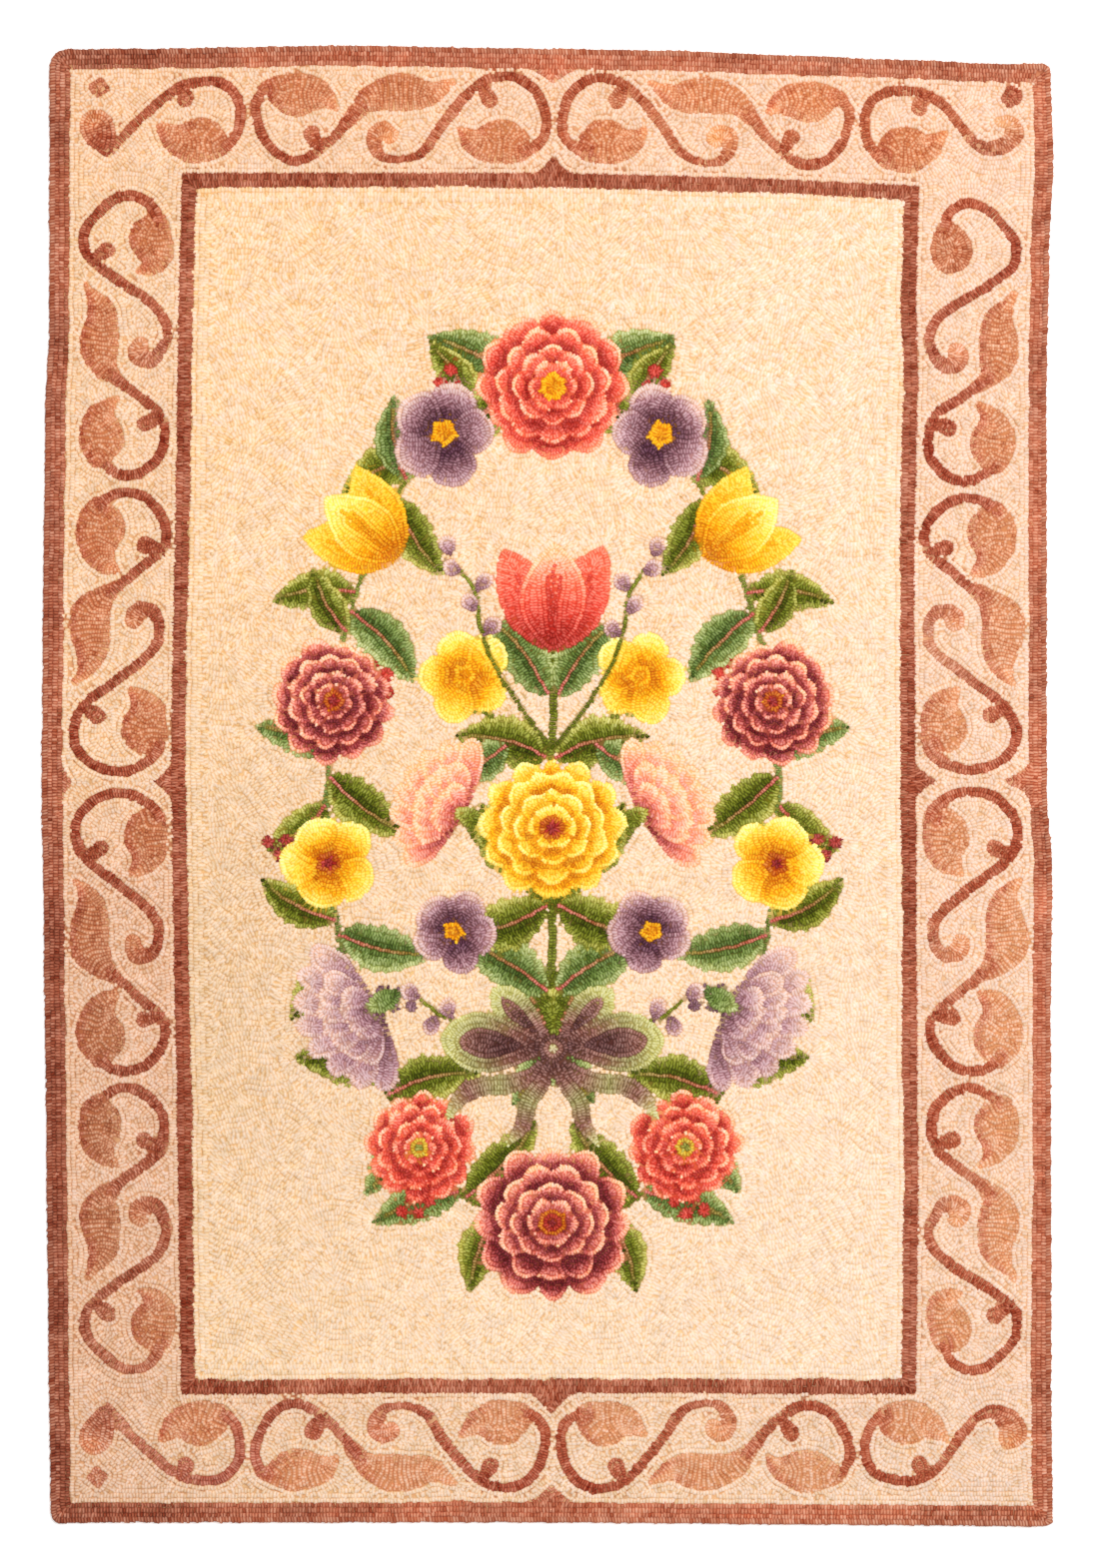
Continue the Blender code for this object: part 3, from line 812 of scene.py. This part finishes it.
def traceRows():
    # marching squares: a row runs where depth / row - 0.5 passes a whole number, inside one patch. Each
    # square links the side where the row comes in to the side where it goes out, deeper wool on its left
    height, width = patch.shape
    rank = depth / rowOf[patch] - 0.5
    whole = np.floor(rank).astype(np.int32)
    corners = [np.s_[:-1, :-1], np.s_[:-1, 1:], np.s_[1:, 1:], np.s_[1:, :-1]]
    top = np.max([whole[c] for c in corners], axis=0)
    same = np.all([patch[c] == patch[corners[0]] for c in corners], axis=0) & (patch[corners[0]] > 0)
    high = [(whole[c] == top) & same for c in corners]
    number = np.arange(height * width, dtype=np.int64).reshape(height, width)
    upward = number + height * width
    sides = [number[:-1, :-1], upward[:-1, 1:], number[1:, :-1], upward[:-1, :-1]]
    falls = [high[k] & ~high[(k + 1) % 4] & same for k in range(4)]
    rises = [~high[k] & high[(k + 1) % 4] & same for k in range(4)]
    crossings = np.sum(falls, axis=0)
    single = crossings == 1
    comesIn = [np.sum([f * s for f, s in zip(falls, sides)], axis=0)[single]]
    goesOut = [np.sum([r * s for r, s in zip(rises, sides)], axis=0)[single]]
    double = crossings == 2
    for enters, leaves, case in [(0, 3, high[0]), (2, 1, high[0]), (1, 0, high[1]), (3, 2, high[1])]:
        chosen = double & case
        comesIn.append(sides[enters][chosen])
        goesOut.append(sides[leaves][chosen])
    comesIn, goesOut = np.concatenate(comesIn), np.concatenate(goesOut)

    names, both = np.unique(np.concatenate([comesIn, goesOut]), return_inverse=True)
    count = len(names)
    onward = np.full(count + 1, count)
    onward[both[:len(comesIn)]] = both[len(comesIn):]
    upright = names >= height * width
    cell = names % (height * width)
    i, j = cell // width, cell % width
    i2, j2 = i + upright, j + ~upright
    level = np.maximum(whole[i, j], whole[i2, j2])
    rise = rank[i2, j2] - rank[i, j]
    part = unit((level - rank[i, j]) / np.where(rise == 0, 1, rise))
    x = across[j] + part * (across[j2] - across[j])
    y = along[i] + part * (along[i2] - along[i])
    way = wayAlong[i, j] + part * (wayAlong[i2, j2] - wayAlong[i, j])

    # Rings are cut at their lowest number; then each point finds how far it is along its row, by doubling
    doublings = 17  # 2 ** 17 is more points than any row has
    lowest, hop = np.arange(count + 1), onward.copy()
    for _ in range(doublings):
        lowest = np.minimum(lowest, lowest[hop])
        hop = hop[hop]
    inRing = hop[:count] < count
    cut = np.flatnonzero(inRing & (onward[:count] == lowest[:count]))
    onward[cut] = count
    back = np.full(count + 1, count)
    back[onward[:count]] = np.arange(count)
    back[count] = count
    x, y = np.append(x, 0), np.append(y, 0)
    run = np.where(back < count, np.hypot(x - x[back], y - y[back]), 0)
    run[count] = 0
    first = np.where(back < count, back, np.arange(count + 1))
    hop = back.copy()
    for _ in range(doublings):
        run = run + np.where(hop < count, run[hop], 0)
        first = np.where(hop < count, first[hop], first)
        hop = np.where(hop < count, hop[hop], count)
    return x, y, np.append(way, 0), onward[:count], run, first


rowX, rowY, rowWay, onward, run, first = traceRows()
print("rows traced:", len(onward), "points")


def cellAt(x, y):  # the row and column of the chart's cell at a place
    i = np.clip(((y + chart["halfLength"]) / chart["cell"]).astype(int), 0, len(along) - 1)
    j = np.clip(((x + chart["halfWidth"]) / chart["cell"]).astype(int), 0, len(across) - 1)
    return i, j


def placeLoops():
    # a loop wherever the way passes another whole pitch: the way along the row, from a chance start, or where
    # the patch has one the way along the shape, so that neighbouring rows keep step
    here = np.flatnonzero(onward < len(onward))
    there = onward[here]
    pitch = np.array([loopStyle.get(kind, loopStyle["field"])[0] for kind in patchKinds])
    pitch = pitch[patch[cellAt(rowX[here], rowY[here])]]
    phase = chance.uniform(0, 1, len(onward) + 1)[first[here]]
    shared = ~np.isnan(rowWay[here] + rowWay[there])
    before = np.where(shared, rowWay[here], run[here]) / pitch + np.where(shared, 0, phase)
    after = np.where(shared, rowWay[there], run[there]) / pitch + np.where(shared, 0, phase)
    passes = (np.floor(after) != np.floor(before)) & (abs(after - before) < 1)
    here, there, before, after = here[passes], there[passes], before[passes], after[passes]
    part = (np.maximum(np.floor(after), np.floor(before)) - before) / (after - before)
    x = rowX[here] + part * (rowX[there] - rowX[here])
    y = rowY[here] + part * (rowY[there] - rowY[here])
    strip = first[here] * 131 + np.floor(after / hooking["stripLoops"]).astype(int) * 7
    return x, y, strip


loopX, loopY, loopStrip = placeLoops()
print("loops on the rows:", len(loopX))


def fillGaps(x, y, strip):  # loops are added at the middle of each bare spot, till none is wider than a row
    tile = 5
    for limit in [3.9, 3.5, 3.2, 3.0, 2.9]:
        filled = np.zeros(patch.shape, bool)
        filled[cellAt(x, y)] = True
        bare = np.where(patch > 0, stepsTo(filled, 8), 0)
        tiles = bare.reshape(bare.shape[0] // tile, tile, -1, tile).transpose(0, 2, 1, 3)
        tiles = tiles.reshape(tiles.shape[:2] + (tile * tile,))
        i, j = np.nonzero(tiles.max(-1) > limit)
        everyOther = (i + j) % 2 == 0  # so that two new loops never share a spot
        i, j = i[everyOther], j[everyOther]
        best = tiles[i, j].argmax(-1)
        extraX, extraY = across[j * tile + best % tile], along[i * tile + best // tile]
        x, y = np.append(x, extraX), np.append(y, extraY)
        strip = np.append(strip, 900000 + extraX.astype(int) // 9 + 200 * (extraY.astype(int) // 9))
    return x, y, strip


loopX, loopY, loopStrip = fillGaps(loopX, loopY, loopStrip)
print("loops with the gaps filled:", len(loopX))

# The pile: each loop is a small ridge of wool, lying square to its row

pileHeight = {"foot": 2.5, "paleFoot": 0.9, "top": 6.6, "uneven": 0.25, "foundation": 3.2}


def putInScene(name, data):  # a mesh, a lamp or a camera as an object
    made = bpy.data.objects.new(name, data)
    bpy.context.scene.collection.objects.link(made)
    return made


def putMesh(name, points, quads, threes, colours):
    # vertices in millimetres, four- and three-sided faces, and a dye at each vertex, with any painted shade
    # and highlight in it
    mesh = bpy.data.meshes.new(name)
    corners = np.concatenate([quads.ravel(), threes.ravel()]).astype(np.int32)
    starts = np.concatenate([np.arange(len(quads)) * 4, len(quads) * 4 + np.arange(len(threes)) * 3])
    mesh.vertices.add(len(points))
    mesh.vertices.foreach_set("co", (points * mm).astype(np.float32).ravel())
    mesh.loops.add(len(corners))
    mesh.loops.foreach_set("vertex_index", corners)
    mesh.polygons.add(len(starts))
    mesh.polygons.foreach_set("loop_start", starts.astype(np.int32))
    mesh.update(calc_edges=True)
    mesh.shade_smooth()
    attribute = mesh.color_attributes.new("dye", "FLOAT_COLOR", "POINT")
    rgba = np.column_stack([colours, np.ones(len(colours))])
    attribute.data.foreach_set("color", rgba.astype(np.float32).ravel())
    plan = points[corners, :2]
    plan = (plan - plan.min(0)) / np.ptp(plan, axis=0)
    mesh.uv_layers.new(name="OFBake").data.foreach_set("uv", plan.astype(np.float32).ravel())
    return putInScene(name, mesh)


# How uneven the loops are: the ranges of their breadth, of how far they reach past their patch's edge in
# millimetres, and of their pitch
uneven = {"across": (0.86, 1.16), "pastEdge": (-0.3, 0.8), "pitch": (0.88, 1.15)}
# Their dyes: the share of specks and how deep they are, the palest and deepest, and how much more uneven the
# field is towards the top, over so many millimetres
dyeing = {"specks": 0.1, "speck": 1.9, "palest": 0.6, "deepest": 1.7, "topMore": 0.6, "over": 400}

i, j = cellAt(loopX, loopY)
loopKind = kindOfPatch[patch[i, j]]
style = np.array([loopStyle.get(kind, loopStyle["field"]) for kind in patchKinds], np.float32)[patch[i, j]]
rowWidth = rowOf[patch[i, j]]
loopCount = len(loopX)
turn = squareTurn[i, j] + chance.normal(0, 1, loopCount) * style[:, 3]
stripChance = np.random.default_rng(5).normal(0, 1, 65536)[loopStrip * 40503 % 65536]
dyeDepth = 1 + stripChance * style[:, 6] + np.maximum(chance.normal(0, 1, loopCount), -1.1) * style[:, 5]
dyeDepth += np.where(chance.uniform(0, 1, loopCount) < dyeing["specks"], dyeing["speck"] * style[:, 5], 0)
dyeDepth = 1 + (dyeDepth - 1) * (1 + dyeing["topMore"] * (loopKind == "field") * unit(loopY / dyeing["over"]))
slip = chance.normal(0, 1, loopCount) * style[:, 4]
loopX, loopY = loopX + slip * np.cos(turn), loopY + slip * np.sin(turn)
evenness = 1 - paleness(dye[i, j]) * paleEven
dyeDepth = np.clip(dyeDepth, dyeing["palest"], dyeing["deepest"])
loopDye = dye[i, j] ** (1 + (dyeDepth[:, None] - 1) * evenness)
loopTop = pileHeight["top"] + chance.uniform(-1, 1, loopCount) * pileHeight["uneven"]
halfAcross = 0.5 * rowWidth * style[:, 2] * chance.uniform(*uneven["across"], loopCount)
pastEdge = chance.uniform(*uneven["pastEdge"], loopCount)
halfAcross = np.minimum(halfAcross, np.maximum(edgeDepth[i, j], 1.6) + pastEdge)
halfPitch = 0.5 * style[:, 0] * style[:, 1] * chance.uniform(*uneven["pitch"], loopCount)
ridge = {"crown": 0.66, "wander": 0.2, "uneven": (-0.2, 0.1)}  # shares of a and of p, and millimetres


def pilePiece(name, chosen):
    # each loop is an arched ridge: four feet at (+-a, +-p) and three crown points at (-crown a, 0), (0, 0)
    # and (crown a, 0), the middle one highest, where a is half its length across the row and p half its pitch
    a, p = halfAcross[chosen, None], halfPitch[chosen, None]
    plan = np.stack([a * [-1, 1, 1, -1, -ridge["crown"], 0, ridge["crown"]], p * [-1, -1, 1, 1, 0, 0, 0]], -1)
    plan[:, 4:, 1] = chance.normal(0, ridge["wander"], (len(a), 3)) * p
    c, s = np.cos(turn[chosen])[:, None], np.sin(turn[chosen])[:, None]
    x = loopX[chosen][:, None] + plan[..., 0] * c - plan[..., 1] * s
    y = loopY[chosen][:, None] + plan[..., 0] * s + plan[..., 1] * c
    z = np.full(x.shape, pileHeight["foot"]) + pileHeight["paleFoot"] * loopDye[chosen].mean(1)[:, None]
    z[:, 4:] = loopTop[chosen][:, None] + chance.uniform(*ridge["uneven"], (len(a), 3))
    z[:, [4, 6]] -= style[chosen, 7:8]
    points = np.stack([x, y, z], -1).reshape(-1, 3)
    number = 7 * np.arange(len(a))[:, None, None]
    faces = [[0, 1, 5], [0, 5, 4], [1, 6, 5], [2, 3, 5], [2, 5, 6], [3, 4, 5], [1, 2, 6], [3, 0, 4]]
    threes = (number + np.array(faces)).reshape(-1, 3)
    # The vertex dyes are painted light: a painted highlight on the crowns, a little painted shade on the
    # shoulders, and deep painted shade on the four feet, down in the valleys between loops; pale wool's
    # valleys are warmed as painted light
    mean, pale = loopDye[chosen].mean(1, keepdims=True), paleness(loopDye[chosen])
    crown = np.minimum(loopDye[chosen] * (woolDyeAndPaintedShade["crown"] + pale * paleCrownPaintedLight), 1)
    foot = loopDye[chosen] ** (woolDyeAndPaintedShade["foot"] + woolDyeAndPaintedShade["paleFoot"] * mean)
    foot = np.minimum(foot * woolDyeAndPaintedShade["footShade"] * (1 + mean * paleValleyPaintedLight), 1)
    shoulder = crown ** (1 + woolDyeAndPaintedShade["shoulder"] * style[chosen, 7:8] * (1 - 0.5 * pale))
    colours = np.stack([foot, foot, foot, foot, shoulder, crown, shoulder], axis=1)
    return putMesh(name, points, np.zeros((0, 4), int), threes, colours.reshape(-1, 3))


def blockOf(x, y, columns, rows):  # which of columns * rows equal blocks of the rug a place is in
    halfX, halfY = 510, 745
    column = np.clip(((x + halfX) / (2 * halfX) * columns).astype(int), 0, columns - 1)
    row = np.clip(((y + halfY) / (2 * halfY) * rows).astype(int), 0, rows - 1)
    return row * columns + column


pile = []
# Into how many columns and rows of pieces each kind of pile is parted, for the limit of triangles a piece
blocks = {"band": (1, 1), "line": (1, 1), "scroll": (1, 2), "scrollLeaf": (1, 2), "border": (2, 2),
          "field": (2, 4), "flowers": (1, 2), "leaves": (1, 2)}
for kind, (columns, rows) in blocks.items():
    block = blockOf(loopX, loopY, columns, rows)
    for number in range(columns * rows):
        chosen = np.flatnonzero((loopKind == kind) & (block == number))
        if len(chosen):
            name = f"{kind}_pile" if columns * rows == 1 else f"{kind}_pile_{number + 1}"
            pile.append(pilePiece(name, chosen))
print("pile made:", len(pile), "pieces,", 8 * loopCount, "triangles")

# The foundation: the cloth with the feet of the loops packed in it, a thin slab whose faces show the dyes; on
# its top face, seen only in the gaps between loops, they are darkened as painted shade.
# Millimetres: its squares, how far it runs under the yarn, its lower face; and how many times the dyes are
# mixed with their neighbours in it, and how deep they are below
foundation = {"step": 10.0, "under": 1.8, "bottom": 0.05, "mixing": 24, "shade": 0.9}


def wayAlongLine(line):  # how far along it each of a line's points is
    return np.append(0, np.cumsum(np.linalg.norm(np.diff(line, axis=0), axis=1)))


def placesAt(line, way, to):  # the places on a line that are so far along it
    return np.stack([np.interp(to, way, line[:, 0]), np.interp(to, way, line[:, 1])], -1)


def betweenEdges(ring, columns, rows):
    # a sheet stretched between its four edges: the blend from side to side and the blend from top to bottom,
    # added, less the blend of the corners; steep makes both ways to a corner count alike on the long rug
    steep = 1.45
    ways = [(1, steep), (-1, steep), (-1, -steep), (1, -steep)]
    corner = [int(np.argmin(ring @ np.array(way))) for way in ways]

    def stretch(start, end, count):  # one edge, in equal steps
        part = np.roll(ring, -start, axis=0)[:(end - start) % len(ring) + 1]
        way = wayAlongLine(part)
        return placesAt(part, way, np.linspace(0, way[-1], count))
    bottom = stretch(corner[0], corner[1], columns)[None]
    right = stretch(corner[1], corner[2], rows)[:, None]
    upper = stretch(corner[2], corner[3], columns)[::-1][None]
    left = stretch(corner[3], corner[0], rows)[::-1][:, None]
    s, t = np.linspace(0, 1, columns)[None, :, None], np.linspace(0, 1, rows)[:, None, None]
    sheet = (1 - t) * bottom + t * upper + (1 - s) * left + s * right
    return sheet - (1 - s) * (1 - t) * bottom[:, :1] - s * (1 - t) * bottom[:, -1:] \
        - s * t * upper[:, -1:] - (1 - s) * t * upper[:, :1]


def foundationPiece():  # the sheet's grid twice, as the top and the underside, joined round the rim
    columns = int(np.ptp(bodyRing[:, 0]) / foundation["step"])
    rows = int(np.ptp(bodyRing[:, 1]) / foundation["step"])
    plan = betweenEdges(movedOut(bodyRing, foundation["under"]), columns, rows).reshape(-1, 2)
    count = len(plan)
    number = np.arange(count).reshape(rows, columns)
    quads = np.stack([number[:-1, :-1], number[:-1, 1:], number[1:, 1:], number[1:, :-1]], -1).reshape(-1, 4)
    border = np.concatenate([number[0, :-1], number[:-1, -1], number[-1, :0:-1], number[:0:-1, 0]])
    after = np.roll(border, -1)
    walls = np.stack([border + count, after + count, after, border], -1)
    mixed = np.stack([softened(dye[..., channel], foundation["mixing"]) for channel in range(3)], -1)
    base = mixed[cellAt(plan[:, 0] * 0.99, plan[:, 1] * 0.99)]
    points = np.concatenate([np.column_stack([plan, np.full(count, pileHeight["foundation"])]),
                             np.column_stack([plan, np.full(count, foundation["bottom"])])])
    # the top face's dye is darkened as painted shade between the loops, and pale wool's is warmed as painted
    # light
    upper = base ** woolDyeAndPaintedShade["gap"] * woolDyeAndPaintedShade["gapShade"] * (1 + base.mean(1, keepdims=True) * paleValleyPaintedLight)
    colours = np.concatenate([np.minimum(upper, 1), foundation["shade"] * base])
    faces = np.concatenate([quads, quads[:, ::-1] + count, walls])
    return putMesh("foundation_cloth", points, faces, np.zeros((0, 3), int), colours)


cloth = foundationPiece()
print("foundation made")

# The whipped edge: yarn wound over the cord, carried round the outline

whipping = {
    "width": 5.2, "height": 6.3, "gap": 0.3, "wrap": 3.0,  # millimetres, the gap to the body
    "round": 8,                           # points round the yarn
    "rings": [0.86, 1.0, 0.97],           # how full a wrap is at its valley, its crown and past it
    "ringPaintedShade": [2.2, 1.0, 1.2],          # and how much painted shade deepens its dye there, most in the valley between wraps
    "lean": 0.7, "inward": 1.6,           # along the edge, and over the cloth, in millimetres
    "mostOut": 2.95, "mostUp": 1.06,      # limits: half the width in millimetres, and the fullness upwards
    "unevenRun": 0.05, "unevenWrap": 0.04, "unevenLean": 0.18, "unevenEdge": 0.35, "unevenDye": 0.24,
    "darker": 0.92, "outerPaintedShade": 0.5,      # the yarn against the band, and the painted shade that deepens its outer side
}


def whippedEdge():
    # wraps along the outline: round each ring of points the section is an oval, drawn in at the valley
    # between two wraps; each wrap is a little bigger or smaller than the next, and leans along the edge
    middle = movedOut(bodyRing, whipping["gap"] + whipping["width"] / 2)
    middle = np.vstack([middle, middle[:1]])
    way = wayAlongLine(middle)
    wraps = int(way[-1] / whipping["wrap"])
    path = placesAt(middle, way, np.linspace(0, way[-1], 3 * wraps, endpoint=False))
    ahead, behind = np.roll(path, -4, axis=0), np.roll(path, 4, axis=0)
    run = (ahead - behind) / np.linalg.norm(ahead - behind, axis=1)[:, None]
    outward = np.stack([run[:, 1], -run[:, 0]], -1)
    angle = np.linspace(0, 2 * np.pi, whipping["round"], endpoint=False)[None, :]  # 0 is out, a quarter is up
    sideways, outer = np.cos(angle), unit(np.cos(angle))

    def perWrap(values):  # one value for each wrap, at each of its three rings
        return np.repeat(values, 3)[:, None]
    swell = np.tile(whipping["rings"], wraps)[:, None]
    hills = whipping["unevenRun"] * np.convolve(chance.normal(0, 1, wraps + 4), np.ones(5), "valid") / 5**0.5
    size = perWrap(1 + hills + chance.normal(0, whipping["unevenWrap"], wraps)) * swell
    lean = whipping["lean"] * sideways + perWrap(chance.normal(0, whipping["unevenLean"], wraps))
    ragged = perWrap(chance.normal(0, whipping["unevenEdge"], wraps)) * outer
    out = np.minimum(whipping["width"] / 2 * size, whipping["mostOut"]) * sideways + ragged
    out += np.where(sideways < 0, whipping["inward"], 0) * sideways
    up = whipping["height"] / 2 * (1 + np.minimum(size, whipping["mostUp"]) * np.sin(angle))
    x = path[:, :1] + out * outward[:, :1] + lean * run[:, :1]
    y = path[:, 1:] + out * outward[:, 1:] + lean * run[:, 1:]
    points = np.stack([x, y, np.maximum(up, 0)], -1).reshape(-1, 3)
    number = np.arange(len(path) * whipping["round"]).reshape(len(path), whipping["round"])
    onto = np.roll(number, -1, axis=0)
    quads = np.stack([number, onto, np.roll(onto, -1, axis=1), np.roll(number, -1, axis=1)], -1)
    noThrees = np.zeros((0, 3), int)
    most = whipping["unevenDye"]
    deeper = perWrap(np.clip(chance.normal(0, most, wraps), -most, 0.7))
    # each wrap's own random depth of dye, plus painted shade in the valleys between wraps and on the outer
    # side
    dyeDepth = deeper + np.tile(whipping["ringPaintedShade"], wraps)[:, None] + whipping["outerPaintedShade"] * outer**3
    paintedGlint = perWrap(chance.uniform(0, 1, wraps) ** 3) * unit(np.cos(angle - 0.1)) ** 2  # a painted highlight on the outer side of a few wraps
    i, j = cellAt(path[:, 0] * 0.985, path[:, 1] * 0.985)
    yarn = (dye[i, j][:, None] * whipping["darker"]) ** dyeDepth[..., None]
    colours = yarn + (wool["leafRust"] - yarn) * paintedGlint[..., None]
    return putMesh("whipped_edge", points, quads.reshape(-1, 4), noThrees, colours.reshape(-1, 3))


edge = whippedEdge()
print("whipped edge made:", 2 * len(edge.data.polygons), "triangles")

# Materials

def feed(tree, node, inputs):  # each of the node's inputs gets a value, or is joined to another node's output
    for name, given in inputs.items():
        if isinstance(given, bpy.types.NodeSocket):
            tree.links.new(given, node.inputs[name])
        else:
            node.inputs[name].default_value = given
    return node.outputs


def addNode(tree, kind, inputs, operation=None):  # a new node with its inputs fed; gives its outputs
    node = tree.nodes.new("ShaderNode" + kind)
    if operation:
        node.operation = operation
    return feed(tree, node, inputs)


fibreLook = {
    "coarse": 0.06,                # scale of the coarse mottling against the fibres'
    "tone": (0.6, 1.4),            # the range of both noises together that is spread over the depth
    "roughness": (0.98, 0.82),     # from between the fibres to their tops
}


def woolGrain():
    # fibres of spun or cut wool: colour * (1 - depth to 1 + depth), by the sum of a fine and a coarse noise;
    # the fine one is the height too, and roughens between fibres
    tree = bpy.data.node_groups.new("woolGrain", "ShaderNodeTree")
    for label, kind, value in [
        ("Colour", "Color", (0.8, 0.8, 0.8, 1)), ("Fibre size", "Float", 0.0008), ("Depth", "Float", 0.2),
        ("Vector", "Vector", None),
    ]:
        socket = tree.interface.new_socket(label, in_out="INPUT", socket_type="NodeSocket" + kind)
        if value is not None:
            socket.default_value = value
    for label, kind in [("Colour", "Color"), ("Height", "Float"), ("Roughness", "Float")]:
        tree.interface.new_socket(label, in_out="OUTPUT", socket_type="NodeSocket" + kind)
    given, result = tree.nodes.new("NodeGroupInput").outputs, tree.nodes.new("NodeGroupOutput")
    spread = addNode(tree, "VectorMath", {0: given["Vector"], 1: given["Fibre size"]}, "DIVIDE")[0]
    fine = addNode(tree, "TexNoise", {"Vector": spread, "Scale": 1.0, "Detail": 2.0})["Fac"]
    coarse = addNode(tree, "TexNoise", {"Vector": spread, "Scale": fibreLook["coarse"], "Detail": 3.0})["Fac"]
    both = addNode(tree, "Math", {0: fine, 1: coarse}, "ADD")[0]
    lowest = addNode(tree, "Math", {0: 1.0, 1: given["Depth"]}, "SUBTRACT")[0]
    highest = addNode(tree, "Math", {0: 1.0, 1: given["Depth"]}, "ADD")[0]
    low, high = fibreLook["tone"]
    inputs = {"Value": both, "From Min": low, "From Max": high, "To Min": lowest, "To Max": highest}
    tone = addNode(tree, "MapRange", inputs)["Result"]
    shaded = addNode(tree, "VectorMath", {0: given["Colour"], "Scale": tone}, "SCALE")[0]
    low, high = fibreLook["roughness"]
    rough = addNode(tree, "MapRange", {"Value": fine, "To Min": low, "To Max": high})["Result"]
    feed(tree, result, {"Colour": shaded, "Height": fine, "Roughness": rough})
    return tree


grain = woolGrain()


def newMaterial(name):  # a material, its node tree and its shader
    material = bpy.data.materials.new(name)
    material.use_nodes = True
    return material, material.node_tree, material.node_tree.nodes["Principled BSDF"]


def woolMaterial(name, fibre, depth, bump, sheen):
    # matt wool: each vertex's own dye, with its painted shade and highlight, times the grain of its fibres,
    # which raise the surface a little too
    material, tree, shader = newMaterial(name)
    place = addNode(tree, "TexCoord", {})["Object"]
    dyed = tree.nodes.new("ShaderNodeAttribute")
    dyed.attribute_name = "dye"
    fibres = tree.nodes.new("ShaderNodeGroup")
    fibres.node_tree = grain
    inputs = {"Vector": place, "Colour": dyed.outputs["Color"], "Fibre size": fibre, "Depth": depth}
    fibred = feed(tree, fibres, inputs)
    relief = addNode(tree, "Bump", {"Height": fibred["Height"], "Strength": bump, "Distance": 0.0004})
    feed(tree, shader, {
        "Base Color": fibred["Colour"], "Roughness": fibred["Roughness"], "Normal": relief["Normal"],
        "Specular IOR Level": 0.08, "Sheen Weight": sheen, "Sheen Roughness": 0.5,
        "Sheen Tint": (1.0, 0.88, 0.7, 1),
    })
    return material


# Fibre size in metres, how much darker and lighter the fibres are, bump and sheen
hookedWool = woolMaterial("hookedWool", 0.0006, 0.16, 0.8, 0.12)
whippingYarn = woolMaterial("whippingYarn", 0.0005, 0.18, 0.8, 0.15)
clothWool = woolMaterial("foundationWool", 0.0012, 0.12, 0.8, 0.1)
for piece in pile:
    piece.data.materials.append(hookedWool)
cloth.data.materials.append(clothWool)
edge.data.materials.append(whippingYarn)

for piece in pile + [cloth]:
    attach(piece, "root")
    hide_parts("hooked_rug_body")
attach(edge, "root")
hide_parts("whipped_binding")
print("materials set and pieces declared")

# Studio: a pale floor, soft even light from all round with a little more from the upper right

photo = {"height": 1570, "perPixel": 0.001, "distance": 5.0, "x": 0.002, "y": 0.002, "sensor": 36}
# The floor, in metres; it glows a little, so that it is as white as the photo's
floorLook = {"half": 20, "below": 0.0004, "grey": 0.93, "glow": 0.3}
sky = {"Color": (1.0, 0.985, 0.965, 1), "Strength": 0.47}
# Lamps: name, place, size in metres, watts
lamps = [("softLight", (1.6, 1.3, 4.4), 2.4, 190), ("sideLight", (-2.4, -0.6, 3.0), 2.2, 24)]


def studio():
    # the floor, the light from all round, and lamps turned to the middle of the rug; the camera looks
    # straight down, and the photo's height just fills its picture: lens = sensor * distance / height
    half, below, grey = floorLook["half"], -floorLook["below"], floorLook["grey"]
    corners = [(x * half, y * half, below) for x, y in [(-1, -1), (1, -1), (1, 1), (-1, 1)]]
    floorMesh = bpy.data.meshes.new("floor")
    floorMesh.from_pydata(corners, [], [(0, 1, 2, 3)])
    material, tree, shader = newMaterial("paleFloor")
    feed(tree, shader, {
        "Base Color": (grey, grey, grey, 1), "Roughness": 0.9,
        "Emission Color": (1.0, 1.0, 1.0, 1), "Emission Strength": floorLook["glow"],
    })
    floorMesh.materials.append(material)
    putInScene("floor", floorMesh)
    world = bpy.data.worlds.new("studio")
    world.use_nodes = True
    feed(world.node_tree, world.node_tree.nodes["Background"], sky)
    bpy.context.scene.world = world
    for name, place, size, watts in lamps:
        lamp = bpy.data.lights.new(name, "AREA")
        lamp.size = size
        lamp.energy = watts
        lampObject = putInScene(name, lamp)
        lampObject.location = place
        aim = -np.array(place) / np.linalg.norm(place)
        lampObject.rotation_euler = (np.arccos(-aim[2]), 0, np.arctan2(-aim[0], aim[1]))
    camera = bpy.data.cameras.new("camera")
    camera.sensor_width = photo["sensor"]
    camera.lens = photo["sensor"] * photo["distance"] / (photo["height"] * photo["perPixel"])
    cameraObject = putInScene("camera", camera)
    cameraObject.location = (photo["x"], photo["y"], photo["distance"] + pileHeight["top"] * mm)
    bpy.context.scene.camera = cameraObject
    bpy.context.scene.view_settings.view_transform = "Standard"


studio()
